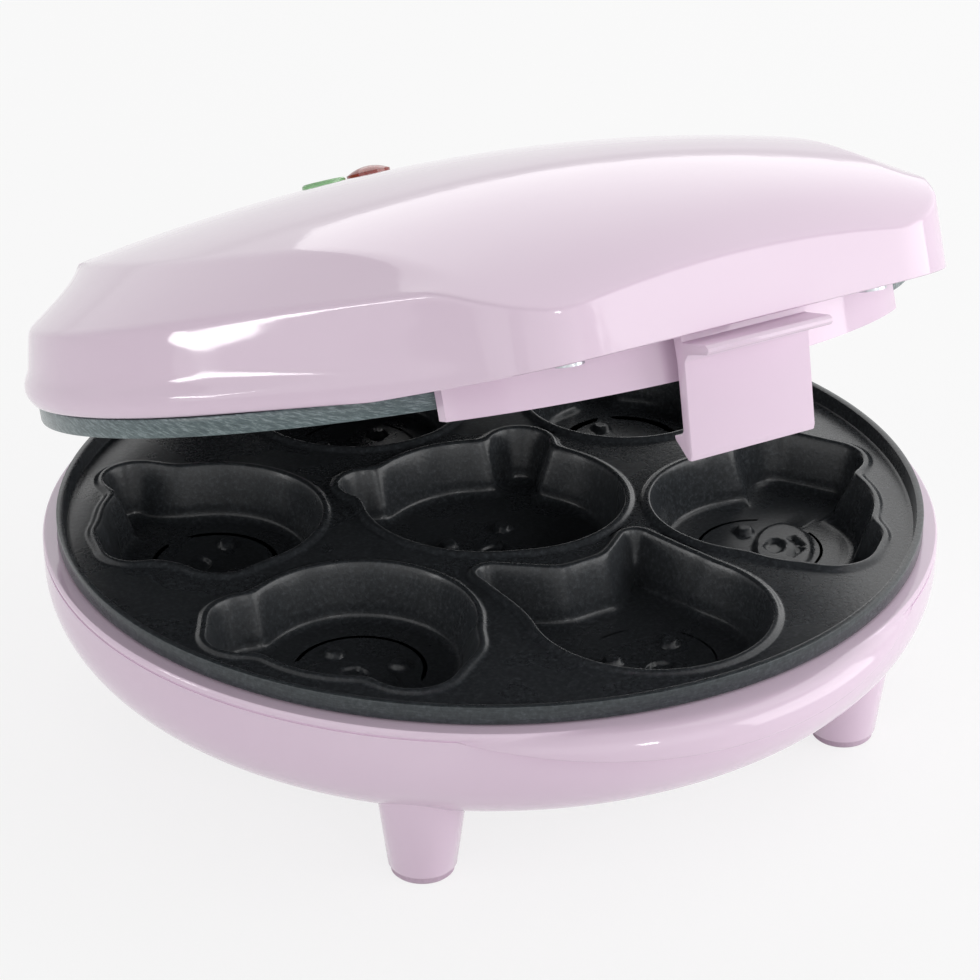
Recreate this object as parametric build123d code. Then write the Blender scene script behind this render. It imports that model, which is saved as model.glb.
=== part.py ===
from build123d import *
import math
import os

os.makedirs("parts", exist_ok=True)

# Sizes are in millimetres. Z points up and the table top is z = 0.
# Pieces are drawn with the common axis of the two plates at x = y = 0, the front at -Y and the hinge
# at +Y. Lid pieces are drawn with the lid shut and then turned about the hinge to the resting angle.
# As it is written, each piece moves so that y = 0 is the middle of the whole footprint.

# Main levels and radii
plate_radius = 90.0
seam_height = 44.0
plate_wall_height = 3.7
plate_floor_drop = 3.3
plate_floor_thickness = 3.0
plate_lip_width = 1.5
plate_overhang = 3.7
rim_gap = 0.4
step_clearance = 0.5
shell_wall = 2.2

# Base bowl
bowl_margin = 3.0
bowl_bottom = 11.0
bowl_side_reach = 31.0
bowl_curve_height = 23.0
bead_height = 1.9
bead_bulge = 0.4
ledge_thickness = 2.2

# Front lip that the latch hooks under
lip_plan_radius = 75.0
lip_reach = 5.0
lip_round = 4.5
lip_edge_back = 24.0
lip_edge_drop = 1.4
lip_edge_slope = 0.229

# Feet
foot_inset = 15.75
foot_angle = 49.57
foot_tip_radius = 6.8
foot_root_radius = 9.4
foot_root_height = 22.0
pad_thickness = 1.5
pad_radius = 6.2
pad_stem_radius = 2.4
pad_stem_length = 5.0

# Hinge
hinge_reach = 5.2
hinge_drop = 2.4
knuckle_radius = 4.6
hinge_pin_radius = 2.0
hinge_clearance = 0.06
hinge_pin_inset = 0.8
rest_angle = 19.16
base_ear_inner = 24.3
base_ear_outer = 34.0
lid_arm_inner = 12.0
lid_arm_outer = 23.5

# Cavities in the plates
cavity_ring_depth = 11.0
cup_wall = 2.2
cavity_draft = 2.6
cavity_round = 2.0
bead_rise = 0.75
bead_inner = 0.35
bead_outer = 2.3
bead_top_outer = 1.2
least_round = 0.5

# Plate posts and screws
post_inset = 8.3
post_radius = 4.5
post_drop = 3.7
counterbore_radius = 3.4
counterbore_floor = 10.0
screw_shaft_radius = 1.5
screw_clearance = 0.3
thread_clearance = 0.04
screw_head_radius = 2.8
screw_head_height = 2.0
plate_screw_length = 15.0

# Heating element and shield
element_ring_radius = 45.0
element_tube_radius = 3.25
element_gap_angle = 12.0
element_end_y = 60.0
element_pin_radius = 1.2
element_pin_length = 6.0
clamp_ring_radius = 37.0
clamp_boss_radius = 3.2
clamp_strip_width = 8.0
clamp_strip_thickness = 1.2
shield_margin = 10.0
shield_thickness = 0.8
shield_flange = 3.0
lid_shield_margin = 20.0
shield_screw_length = 9.0

# Latch
latch_half_width = 13.5
latch_setback = 4.8
latch_pivot_rise = 2.0
latch_barrel_radius = 2.2
latch_pin_radius = 1.2
latch_pin_clearance = 0.06
latch_slot_clearance = 0.7

# Lid shell
lid_margin = 1.0
lid_bulge = 1.1
lid_crease_inset = 0.7
lid_nose_reach = 16.0
lid_corner_x = 33.3
lid_corner_radius = 20.0
lid_edge_y = -72.0
lid_edge_slope = 0.088
frame_screw_x = 33.0
frame_screw_setback = 9.5
frame_boss_radius = 3.6

# Crown of the lid, above the seam and across
crown_rise = 37.06
crown_tilt = -0.0365
crown_curve = -0.0009
crown_turn_y = -32.8
nose_fall = 11.8
nose_round_fall = 4.2
crown_half_width = 67.0
crown_rear_narrowing = 0.0027
crown_widest_y = 4.4
nose_half_width = 49.7
nose_narrow_setback = 16.1
cross_bend = 0.00172
cross_bend_tilt = -0.000005
shoulder_rise = 19.5
shoulder_tilt = -0.035
shoulder_least_slope = 0.29
shoulder_least_run = 3.0

# Inner frame of the lid
frame_fit = 0.4
frame_wall = 1.4
frame_ring_rise = 6.9
floor_rise = 3.4
floor_thickness = 1.6
skirt_drop = 2.0
skirt_thickness = 2.0
skirt_half_width = 50.0

# Indicator lenses
lens_y = 46.0
lens_x = 5.5
lens_radius = 4.8
lens_stem_radius = 3.4
lens_stem_length = 2.4
lens_clearance = 0.08
lens_seat = 0.35
lamp_radius = 2.0
lamp_length = 9.0
lamp_gap = 0.9

# Terminal block beside the cord entry
terminal_inset = 18.5
terminal_angle = 106.0
terminal_rise = 7.5
terminal_height = 7.5
terminal_half_length = 7.5

# Lamp holder under the crown
holder_thickness = 1.2
holder_screw_x = 16.0
small_screw_radius = 0.85
small_head_radius = 1.9
small_head_height = 1.3
small_screw_clearance = 0.35

# Inner wires
wire_radius = 0.8
wire_drop = 0.15

# Cord entry
gland_rise = 9.5
gland_barrel_radius = 4.4
gland_bore_radius = 2.6
gland_flange_radius = 6.6
gland_flange_thickness = 2.0
gland_tail_length = 9.5
gland_tail_radius = 5.4
gland_tail_tip_radius = 4.0
gland_fit = 0.06
gland_socket_radius = 7.4
cord_clamp_setback = 15.5
cord_screw_x = 7.0
cord_bar_thickness = 1.8

# Radii and places that follow from the sizes above
plate_step_radius = plate_radius - plate_overhang
ledge_radius = plate_step_radius + step_clearance
post_ring_radius = plate_step_radius - post_inset
shield_radius = post_ring_radius - shield_margin
lid_shield_radius = post_ring_radius - lid_shield_margin
bowl_radius = plate_radius + bowl_margin
bowl_flat_radius = bowl_radius - bowl_side_reach
lip_plan_y = lip_plan_radius - bowl_radius - lip_reach
lip_edge_y = -(bowl_radius + lip_reach - lip_edge_back)
foot_ring_radius = bowl_radius - foot_inset
hinge_y = bowl_radius + hinge_reach
lid_foot_radius = plate_radius + lid_margin
lid_bulge_radius = lid_foot_radius + lid_bulge
lid_crease_radius = plate_radius - lid_crease_inset
lid_front_y = -(plate_radius + lid_nose_reach)
lid_corner_y = lid_front_y + lid_corner_radius
latch_pivot_y = lid_front_y + latch_setback
frame_screw_y = lid_front_y + frame_screw_setback
terminal_ring_radius = bowl_radius - terminal_inset
gland_face_y = bowl_radius - 1.0
gland_tail_y = gland_face_y + gland_flange_thickness
cord_clamp_y = gland_face_y - cord_clamp_setback
footprint_front = -(bowl_radius + lip_reach)
footprint_back = gland_tail_y + gland_tail_length
footprint_middle = (footprint_front + footprint_back) / 2

# Levels that follow from the sizes above
plate_wall_foot = seam_height - plate_wall_height
plate_floor = seam_height - plate_floor_drop
plate_under = plate_floor - plate_floor_thickness
post_top = plate_under - post_drop
counterbore_top = post_top - counterbore_floor
base_rim = plate_wall_foot - rim_gap
lip_edge_height = base_rim - lip_edge_drop
hinge_z = seam_height - hinge_drop
lid_rim = seam_height + plate_wall_height + rim_gap
floor_low = lid_rim + floor_rise
frame_ring_top = lid_rim + frame_ring_rise
skirt_bottom = seam_height - skirt_drop
latch_pivot_z = floor_low + latch_pivot_rise
cavity_floor = plate_floor - cavity_ring_depth
cup_bottom = cavity_floor - cup_wall
element_height = cup_bottom - element_tube_radius
wire_height = element_height - wire_drop
clamp_top = element_height - element_tube_radius
shield_top = clamp_top - clamp_strip_thickness
bowl_curve_top = bowl_bottom + bowl_curve_height
terminal_low = bowl_bottom + terminal_rise
gland_height = bowl_bottom + gland_rise
cord_post_top = gland_height + gland_bore_radius
post_angles = [60.0, 120.0, 240.0, 300.0]
clamp_angles = [0.0, 60.0, 180.0]

# The seven figures, in hundredths of the plate's radius. Each lobe of an outline runs from one
# round to another: x, y and radius of both. The first lobe is the head, "up" is the angle its
# face looks up, "pad" the half width of a snout pad in millimetres.
figures = [
    {"up": 95.0, "pad": 0.0, "lobes": [
        (0.7, 3.6, 28.2, 5.1, 0.9, 27.3),
        (-19.4, 22.8, 6.9, -11.1, 13.3, 8.9),
        (22.8, 24.4, 6.9, 14.4, 15.0, 8.9)]},
    {"up": 93.0, "pad": 0.0, "lobes": [
        (3.9, -63.0, 26.2, 3.9, -63.0, 26.2),
        (-17.3, -30.2, 3.3, -7.8, -48.9, 12.2),
        (19.8, -31.8, 2.9, 14.2, -48.3, 12.2)]},
    {"up": 40.0, "pad": 10.0, "lobes": [
        (-52.9, -33.3, 25.4, -52.9, -33.3, 25.4),
        (-77.6, -27.1, 8.3, -72.8, -20.6, 9.1),
        (-53.3, -58.0, 9.4, -46.1, -50.6, 11.1)]},
    {"up": -20.0, "pad": 0.0, "lobes": [
        (-57.8, 27.8, 25.0, -57.8, 27.8, 25.0),
        (-65.0, 53.3, 7.6, -61.1, 46.7, 8.9),
        (-80.2, 21.8, 7.0, -77.8, 28.9, 7.8),
        (-65.8, 7.6, 7.9, -55.6, 15.6, 13.1)]},
    {"up": 144.0, "pad": 11.0, "lobes": [
        (55.0, -31.1, 25.7, 55.0, -31.1, 25.7),
        (55.6, -57.8, 9.1, 60.4, -54.0, 9.6),
        (55.6, -57.8, 9.1, 51.7, -49.4, 12.9),
        (80.0, -20.9, 9.1, 73.3, -11.1, 9.8)]},
    {"up": 90.0, "pad": 0.0, "lobes": [
        (0.0, 64.4, 25.8, 0.0, 64.4, 25.8),
        (-19.8, 82.2, 6.9, -13.3, 77.8, 8.9),
        (19.8, 82.2, 6.9, 13.3, 77.8, 8.9)]},
    {"up": 30.0, "pad": 8.5, "lobes": [
        (58.1, 33.7, 23.8, 58.1, 33.7, 23.8),
        (64.0, 56.0, 6.7, 61.7, 47.8, 8.9),
        (80.7, 27.1, 6.7, 72.2, 29.4, 8.9)]},
]



standing = (Align.CENTER, Align.CENTER, Align.MIN)


def polar(radius, degrees):
    return (radius * math.cos(math.radians(degrees)), radius * math.sin(math.radians(degrees)))


def disc(radius, low, high, at=(0.0, 0.0)):
    return Pos(at[0], at[1], low) * Cylinder(radius, high - low, align=standing)


def block(x_low, x_high, y_low, y_high, z_low, z_high):
    size = (x_high - x_low, y_high - y_low, z_high - z_low)
    return Pos(x_low, y_low, z_low) * Box(*size, align=(Align.MIN, Align.MIN, Align.MIN))


def rod_x(radius, x_low, x_high, y, z):
    turned = Pos(x_low, y, z) * Rot(0, 90, 0)
    return turned * Cylinder(radius, x_high - x_low, align=standing)


def rod_y(radius, y_low, y_high, x, z):
    turned = Pos(x, y_low, z) * Rot(-90, 0, 0)
    return turned * Cylinder(radius, y_high - y_low, align=standing)


def side_plate(points, x_low, x_high):
    # A piece cut to an outline given as (y, z) points, between two values of x
    face = Plane.YZ * make_face(Polyline(*points, close=True))
    return Pos(x_low, 0, 0) * extrude(face, x_high - x_low, dir=(1, 0, 0))


def ring_profile(points):
    # A turned piece from an outline given as (radius, z) points
    face = Plane.XZ * make_face(Polyline(*points, close=True))
    return revolve(face, axis=Axis.Z)


def tube(points, radius, start, end):
    path = Spline(*points, tangents=[start, end])
    return sweep(Plane(origin=path @ 0, z_dir=path % 0) * Circle(radius), path=path)


def mirrored(shape):
    return mirror(shape, about=Plane.XY.offset(seam_height))


def opened(shape):
    return shape.rotate(Axis((0, hinge_y, hinge_z), (1, 0, 0)), -rest_angle)


def write(name, pieces, on_lid=False):
    solids = []
    for piece in pieces:
        solids.extend(piece.solids())
    if on_lid:
        solids = [opened(solid) for solid in solids]
    solids = [Pos(0, -footprint_middle, 0) * solid for solid in solids]
    export_step(Compound(children=solids), "parts/" + name + ".step")


def bowl_form(inset, top):
    flat = bowl_flat_radius
    low = bowl_bottom + inset
    reach = bowl_radius - flat - inset
    rise = bowl_curve_height - inset
    curve = EllipticalCenterArc((flat, bowl_curve_top), reach, rise, start_angle=270, arc_size=90)
    wall = bowl_radius - inset
    rest = Polyline((wall, bowl_curve_top), (wall, top), (0, top), (0, low), (flat, low))
    return revolve(Plane.XZ * make_face([curve, rest]), axis=Axis.Z)


def rim_bead():
    low = base_rim - bead_height
    inner = bowl_radius - bead_bulge
    arc = ThreePointArc((inner, low), (bowl_radius, low + bead_height / 2), (inner, base_rim))
    rest = Polyline((inner, base_rim), (ledge_radius, base_rim), (ledge_radius, low), (inner, low))
    return revolve(Plane.XZ * make_face([arc, rest]), axis=Axis.Z)


def front_lip():
    side = lip_plan_radius
    top = base_rim
    round_off = RadiusArc((side, top - lip_round), (side - lip_round, top), -lip_round)
    low = top - 12.0
    rest = Polyline((side - lip_round, top), (0, top), (0, low), (side, low), (side, top - lip_round))
    solid = Pos(0, lip_plan_y, 0) * revolve(Plane.XZ * make_face([round_off, rest]), axis=Axis.Z)
    near = lip_edge_y + 14.0
    far = lip_edge_y - 40.0
    near_z = lip_edge_height + (near - lip_edge_y) * lip_edge_slope
    far_z = lip_edge_height + (far - lip_edge_y) * lip_edge_slope
    wide = 1.5 * bowl_radius
    below = side_plate([(near, near_z), (far, far_z), (far, 0), (near, 0)], -wide, wide)
    behind = block(-wide, wide, near, wide, 0, seam_height + 16)
    return solid - below - behind


def foot(x, y):
    height = foot_root_height - pad_thickness
    cone = Cone(foot_tip_radius, foot_root_radius, height, align=standing)
    return Pos(x, y, pad_thickness) * cone


def base_ear(x_low, x_high):
    web = [
        (bowl_radius - 6.5, hinge_z - 16.1),
        (bowl_radius - 6.5, hinge_z - 3.1),
        (hinge_y - 3.3, hinge_z + 3.2),
        (hinge_y + 3.3, hinge_z - 3.2),
    ]
    knuckle = rod_x(knuckle_radius, x_low, x_high, hinge_y, hinge_z)
    return side_plate(web, x_low, x_high) + knuckle


def both_sides(maker, low, high):
    return maker(low, high) + maker(-high, -low)


def foot_places():
    x, y = polar(foot_ring_radius, foot_angle)
    return [(sx * x, sy * y) for sx in (-1, 1) for sy in (-1, 1)]


def terminal_place():
    return Pos(*polar(terminal_ring_radius, terminal_angle), 0) * Rot(0, 0, terminal_angle - 90.0)


def base_housing():
    outer = bowl_form(0, base_rim - bead_height) + rim_bead() + front_lip()
    for x, y in foot_places():
        outer += foot(x, y)
    outer += rod_y(gland_socket_radius, gland_face_y - 22, gland_face_y, 0, gland_height)
    outer += both_sides(base_ear, base_ear_inner, base_ear_outer)
    inner = bowl_form(shell_wall, base_rim - ledge_thickness)
    shell = outer - inner - disc(ledge_radius, base_rim - ledge_thickness - 1, base_rim + 9)
    solid = bowl_form(0, base_rim - ledge_thickness - 1)
    for angle in post_angles:
        shell += disc(post_radius, bowl_bottom - 1, post_top, polar(post_ring_radius, angle)) & solid
    shell += (terminal_place() * block(-6.5, 6.5, -3, 3, 8, terminal_low)) & solid
    for side in (-1, 1):
        shell += disc(2.3, 8, cord_post_top, (side * cord_screw_x, cord_clamp_y)) & solid
    cord_rest = gland_height - gland_bore_radius
    shell += block(-4, 4, cord_clamp_y - 2, cord_clamp_y + 2, 8, cord_rest) & solid
    for angle in post_angles:
        at = polar(post_ring_radius, angle)
        shell -= disc(counterbore_radius, 0, counterbore_top, at)
        shell -= disc(screw_shaft_radius + screw_clearance, 0, post_top + 1, at)
    for side in (-1, 1):
        at = (side * cord_screw_x, cord_clamp_y)
        shell -= disc(small_screw_radius + thread_clearance, gland_height - 4.0, gland_height + 4, at)
    for x, y in foot_places():
        shell -= disc(pad_stem_radius + 0.05, 0, pad_thickness + pad_stem_length + 0.3, (x, y))
    shell -= rod_y(gland_barrel_radius + gland_fit, gland_face_y - 14, gland_face_y + 9, 0, gland_height)
    shell -= rod_x(hinge_pin_radius + hinge_clearance, -60, 60, hinge_y, hinge_z)
    return shell


def foot_pads():
    pads = []
    for x, y in foot_places():
        tread = disc(pad_radius, 0, pad_thickness, (x, y))
        tread = chamfer(tread.edges().group_by(Axis.Z)[0], 0.4)
        stem = disc(pad_stem_radius, pad_thickness - 0.2, pad_thickness + pad_stem_length, (x, y))
        pads.append(tread + stem)
    return pads


def hinge_pins():
    low = lid_arm_inner + hinge_pin_inset
    high = base_ear_outer - hinge_pin_inset
    right = rod_x(hinge_pin_radius, low, high, hinge_y, hinge_z)
    left = rod_x(hinge_pin_radius, -high, -low, hinge_y, hinge_z)
    return [right, left]


def lobe_face(lobe, grow, height):
    # The outline round two circles: two arcs and the straight lines that touch both
    x1, y1, r1, x2, y2, r2 = [share * plate_radius / 100 for share in lobe]
    r1 = max(r1 + grow, least_round)
    r2 = max(r2 + grow, least_round)
    if (x1, y1) == (x2, y2):
        return Pos(x1, y1, height) * Circle(r1)
    apart = math.hypot(x2 - x1, y2 - y1)
    line = math.degrees(math.atan2(y2 - y1, x2 - x1))
    lean = math.degrees(math.acos((r1 - r2) / apart))

    def on_round(x, y, radius, angle):
        dx, dy = polar(radius, angle)
        return (x + dx, y + dy)

    edges = [
        Line(on_round(x1, y1, r1, line + lean), on_round(x2, y2, r2, line + lean)),
        ThreePointArc(
            on_round(x2, y2, r2, line + lean),
            on_round(x2, y2, r2, line),
            on_round(x2, y2, r2, line - lean)),
        Line(on_round(x2, y2, r2, line - lean), on_round(x1, y1, r1, line - lean)),
        ThreePointArc(
            on_round(x1, y1, r1, line - lean),
            on_round(x1, y1, r1, line + 180),
            on_round(x1, y1, r1, line + lean)),
    ]
    return Pos(0, 0, height) * make_face(edges)


def figure_form(figure, levels):
    # One solid for each lobe and step between two levels, given as (height, growth of the outline)
    solids = []
    for lobe in figure["lobes"]:
        for low, high in zip(levels, levels[1:]):
            faces = [lobe_face(lobe, grow, height) for height, grow in (low, high)]
            solids.append(loft(faces, ruled=True))
    return solids


def cup(figure):
    knee = cup_wall - cavity_draft
    levels = [
        (cup_bottom, knee - cavity_round),
        (cup_bottom + cavity_round, knee),
        (plate_under + 1.0, cup_wall),
    ]
    return figure_form(figure, levels)


def cavity(figure):
    levels = [
        (cavity_floor, -cavity_draft - cavity_round),
        (cavity_floor + cavity_round, -cavity_draft),
        (plate_floor + bead_rise + 0.6, bead_inner),
    ]
    return figure_form(figure, levels)


def cavity_bead(figure):
    levels = [(plate_floor - 0.4, bead_outer), (plate_floor + bead_rise, bead_top_outer)]
    return figure_form(figure, levels)


def head_centre(figure):
    return tuple(share * plate_radius / 100 for share in figure["lobes"][0][:2])


def face_place(figure):
    x, y = head_centre(figure)
    return Pos(x, y, cavity_floor) * Rot(0, 0, figure["up"] - 90.0)


def face_relief(figure):
    # Raised eyes, and a raised oval pad round the nose of some figures
    place = face_place(figure)
    eyes = [disc(1.9, -0.5, 1.2, (side * 7.0, 3.5)) for side in (-1, 1)]
    if figure["pad"] > 0:
        eyes.append(extrude(Pos(0, -5.0, -0.5) * Ellipse(figure["pad"], 6.0), 1.3, dir=(0, 0, 1)))
    return [place * eye for eye in eyes]


def face_hollow(figure):
    # A hollow that moulds the nose, and two short grooves for the mouth
    place = face_place(figure)
    nose = Pos(0, -3.0, 0) * extrude(Pos(0, 0, -0.8) * Ellipse(2.8, 2.0), 3.0, dir=(0, 0, 1))
    mouth = [Pos(side * 2.4, -7.6, 0.1) * Rot(0, 0, side * 30) * Box(4.4, 1.1, 1.6) for side in (-1, 1)]
    return [place * nose] + [place * groove for groove in mouth]


def lower_plate():
    rim = [
        (0, plate_under),
        (plate_step_radius, plate_under),
        (plate_step_radius, plate_wall_foot),
        (plate_radius, plate_wall_foot),
        (plate_radius, seam_height),
        (plate_radius - plate_lip_width, seam_height),
        (plate_radius - plate_lip_width - 0.5, plate_floor),
        (0, plate_floor),
    ]
    added = []
    for angle in post_angles:
        added.append(disc(post_radius, post_top, plate_under + 1, polar(post_ring_radius, angle)))
    for angle in clamp_angles:
        added.append(disc(clamp_boss_radius, clamp_top, plate_under + 1, polar(clamp_ring_radius, angle)))
    for figure in figures:
        added.extend(cup(figure))
        added.extend(cavity_bead(figure))
    plate = ring_profile(rim) + added
    cuts = []
    for figure in figures:
        cuts.extend(cavity(figure))
    deep = counterbore_top + plate_screw_length + 0.5
    for angle in post_angles:
        at = polar(post_ring_radius, angle)
        cuts.append(disc(screw_shaft_radius + thread_clearance, post_top - 1, deep, at))
    deep = clamp_top + shield_screw_length
    for angle in clamp_angles:
        at = polar(clamp_ring_radius, angle)
        cuts.append(disc(screw_shaft_radius + thread_clearance, clamp_top - 1, deep, at))
    plate -= cuts
    relief = []
    hollows = []
    for figure in figures:
        relief.extend(face_relief(figure))
        hollows.extend(face_hollow(figure))
    return plate + relief - hollows


def screw(length, at, height):
    # Stands point up, with the underside of its head at the given height
    head = disc(screw_head_radius, height - screw_head_height, height, at)
    slots = block(-0.4, 0.4, -1.8, 1.8, 0, 0.9) + block(-1.8, 1.8, -0.4, 0.4, 0, 0.9)
    head -= Pos(at[0], at[1], height - screw_head_height) * slots
    return head + disc(screw_shaft_radius, height - 0.3, height + length, at)


def plate_screws():
    places = [polar(post_ring_radius, angle) for angle in post_angles]
    return [screw(plate_screw_length, place, counterbore_top) for place in places]


def shield_screws():
    height = shield_top - shield_thickness
    reach = clamp_strip_thickness + shield_thickness + shield_screw_length - 1.0
    return [screw(reach, polar(clamp_ring_radius, angle), height) for angle in clamp_angles]


def element():
    gap = element_gap_angle
    circle = Plane.XZ * Pos(element_ring_radius, element_height) * Circle(element_tube_radius)
    ring = revolve(circle, axis=Axis.Z, revolution_arc=360 - 2 * gap)
    ring = Rot(0, 0, 90 + gap) * ring
    x, y = polar(element_ring_radius, 90 - gap)
    for side in (-1, 1):
        ring += Pos(side * x, y, element_height) * Sphere(element_tube_radius)
        ring += rod_y(element_tube_radius, y, element_end_y, side * x, element_height)
        pin_end = element_end_y + element_pin_length
        ring += rod_y(element_pin_radius, element_end_y - 1, pin_end, side * x, element_height)
    return ring


def element_clamps():
    strips = []
    half = clamp_strip_width / 2
    for angle in clamp_angles:
        strip = block(clamp_ring_radius - 5, element_ring_radius + 5, -half, half, shield_top, clamp_top)
        strip -= disc(screw_shaft_radius + screw_clearance, 0, 60, (clamp_ring_radius, 0))
        strips.append(Rot(0, 0, angle) * strip)
    return strips


def heat_shield(radius):
    low = shield_top - shield_thickness
    profile = [
        (0, low),
        (radius - 4, low),
        (radius, low + shield_flange),
        (radius, low + shield_flange + shield_thickness),
        (radius - 4.3, shield_top),
        (0, shield_top),
    ]
    sheet = ring_profile(profile)
    for angle in clamp_angles:
        sheet -= disc(screw_shaft_radius + screw_clearance, 0, 60, polar(clamp_ring_radius, angle))
    return sheet


def thermal_fuse():
    centre = cup_bottom - 2.0
    at_x, at_y = head_centre(figures[0])
    capsule = rod_x(2.0, at_x - 6, at_x + 6, at_y, centre) + rod_x(0.6, at_x - 8, at_x + 8, at_y, centre)
    low = centre - 2.0
    strap = block(at_x - 2, at_x + 2, at_y - 5, at_y + 5, low - 0.6, low)
    for side in (-1, 1):
        edge = at_y + side * 4.7
        strap += block(at_x - 2, at_x + 2, edge - 0.3, edge + 0.3, low - 0.6, cup_bottom)
    return [capsule, strap]


def terminal_block():
    top = terminal_low + terminal_height
    body = block(-terminal_half_length, terminal_half_length, -4, 4, terminal_low, top)
    for step in (-1, 0, 1):
        body -= disc(1.6, top - 3.0, top + 1.0, (step * 4.8, 0))
    return terminal_place() * body


def cord_gland():
    body = rod_y(gland_barrel_radius, gland_face_y - 12, gland_face_y, 0, gland_height)
    body += rod_y(gland_flange_radius, gland_face_y, gland_tail_y, 0, gland_height)
    tail = Cone(gland_tail_radius, gland_tail_tip_radius, gland_tail_length, align=standing)
    body += Pos(0, gland_tail_y, gland_height) * Rot(-90, 0, 0) * tail
    for step in range(3):
        y = gland_tail_y + 1.6 + 2.6 * step
        groove = rod_y(9, y, y + 1.2, 0, gland_height)
        body -= groove - rod_y(gland_tail_tip_radius - 0.3, y - 1, y + 3, 0, gland_height)
    return body - rod_y(gland_bore_radius, gland_face_y - 20, gland_face_y + 20, 0, gland_height)


def cord_clamp():
    half = cord_screw_x + 2.5
    top = cord_post_top + cord_bar_thickness
    bar = block(-half, half, cord_clamp_y - 2.2, cord_clamp_y + 2.2, cord_post_top, top)
    for side in (-1, 1):
        at = (side * cord_screw_x, cord_clamp_y)
        bar -= disc(small_screw_radius + small_screw_clearance, 0, 60, at)
    return bar


def cord_clamp_screws():
    top = cord_post_top + cord_bar_thickness
    screws = []
    for side in (-1, 1):
        at = (side * cord_screw_x, cord_clamp_y)
        head = disc(small_head_radius, top, top + small_head_height, at)
        screws.append(head + disc(small_screw_radius, gland_height - 3, top + 0.2, at))
    return screws


def base_wiring():
    x, y = polar(element_ring_radius, 90 - element_gap_angle)
    end_y = element_end_y + element_pin_length
    z = element_height
    fuse_x, fuse_y = head_centre(figures[0])
    fuse_z = cup_bottom - 2.0
    side = Vector(*polar(terminal_ring_radius - 4.0, terminal_angle), 0)
    along = Vector(*polar(1.0, terminal_angle - 90.0), 0)
    inward = Vector(*polar(1.0, terminal_angle + 180.0), 0)
    first = side + along * 3.0
    second = side - along * 2.0
    from_element = [
        (-x, end_y, z),
        (-x - 1.5, end_y + 2.2, z),
        (first.X + inward.X, first.Y + inward.Y, wire_height),
        (first.X, first.Y, wire_height),
    ]
    from_fuse = [
        (fuse_x - 8, fuse_y, fuse_z),
        (-9, 12, cup_bottom - 3.0),
        (-2.6, 44, cup_bottom - 3.7),
        (-3.2, 60, cup_bottom - 2.6),
        (-8.0, end_y + 2.0, cup_bottom - 1.5),
        (-15.0, end_y - 1.2, cup_bottom - 2.0),
        (second.X, second.Y, wire_height),
    ]
    fuse_to_element = [
        (fuse_x + 8, fuse_y, fuse_z),
        (11, 12, cup_bottom - 3.0),
        (2.8, 44, cup_bottom - 3.7),
        (3.6, 64, cup_bottom - 3.7),
        (7.0, end_y + 3.0, z),
        (x, end_y, z),
    ]
    return [
        tube(from_element, wire_radius, (0, 1, 0), -inward),
        tube(from_fuse, wire_radius, (-1, 0, 0), -inward),
        tube(fuse_to_element, wire_radius, (1, 0, 0), (0, -1, 0)),
    ]


# Height of the lid's crown along the middle, from the back edge to the nose
def crest_height(y):
    base = seam_height + crown_rise
    if y > crown_turn_y:
        return base + crown_tilt * y + crown_curve * y * y
    fall = (crown_turn_y - y) / (crown_turn_y - lid_front_y)
    turn = base + crown_tilt * crown_turn_y + crown_curve * crown_turn_y ** 2
    slope = crown_tilt + 2 * crown_curve * crown_turn_y
    return turn + slope * (y - crown_turn_y) - nose_fall * fall ** 2.2 - nose_round_fall * fall ** 12


def crest_slope(y):
    return (crest_height(y + 0.1) - crest_height(y - 0.1)) / 0.2


# The crown narrows in a parabola towards the back and runs out to even width at the nose
def panel_half_width(y):
    if y > crown_widest_y:
        return crown_half_width - crown_rear_narrowing * (y - crown_widest_y) ** 2
    reach = crown_widest_y - lid_front_y - nose_narrow_setback
    share = min((crown_widest_y - y) / reach, 1.0)
    spread = crown_half_width - nose_half_width
    return nose_half_width + spread * math.cos(math.pi / 2 * share) ** 2


def panel_drop(y):
    return (cross_bend + cross_bend_tilt * y) * panel_half_width(y) ** 2


def crease_half_width(y):
    # Half width of the wall at its top edge: round at the back, straight, then the corner's round
    big = lid_crease_radius
    small = lid_corner_radius
    apart = math.hypot(lid_corner_x, lid_corner_y)
    lean = math.atan2(lid_corner_y, lid_corner_x) + math.acos((big - small) / apart)
    far_x, far_y = big * math.cos(lean), big * math.sin(lean)
    if y > far_y:
        return math.sqrt(max(big ** 2 - y * y, 1.0))
    near_x = lid_corner_x + small * math.cos(lean)
    near_y = lid_corner_y + small * math.sin(lean)
    if y > near_y:
        return near_x + (far_x - near_x) * (y - near_y) / (far_y - near_y)
    return lid_corner_x + math.sqrt(max(small ** 2 - (y - lid_corner_y) ** 2, 0.0))


def roof_section(y, drop):
    half = panel_half_width(y)
    edge = crest_height(y) - panel_drop(y) - drop
    run = max(crease_half_width(y) - half, shoulder_least_run)
    crease = seam_height + shoulder_rise + shoulder_tilt * y
    crease = min(crease, edge + drop - shoulder_least_slope * run) - drop
    slope = (edge - crease) / run
    side = half + run + 6.0
    foot_z = crease - 6.0 * slope
    crown = []
    for part in (-1.0, -0.66, -0.33, 0.0, 0.33, 0.66, 1.0):
        crown.append((part * half, y, edge + panel_drop(y) * (1 - part * part)))
    top = Spline(*crown)
    low = seam_height / 2
    below = [
        (-half, y, edge),
        (-side, y, foot_z),
        (-side, y, low),
        (side, y, low),
        (side, y, foot_z),
        (half, y, edge),
    ]
    return make_face([top, Polyline(*below)])


def roof_form(drop):
    rear = [1.07, 0.93, 0.78, 0.62, 0.44, 0.22, 0.0]
    front = [-0.22, -0.36, -0.5, -0.64, -0.78, -0.88, -0.97, -1.04]
    stations = [share * plate_radius for share in rear + front]
    stations += [lid_front_y + setback for setback in (7.0, 2.5, 0.0, -2.0)]
    return loft([roof_section(y, drop) for y in stations])


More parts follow.
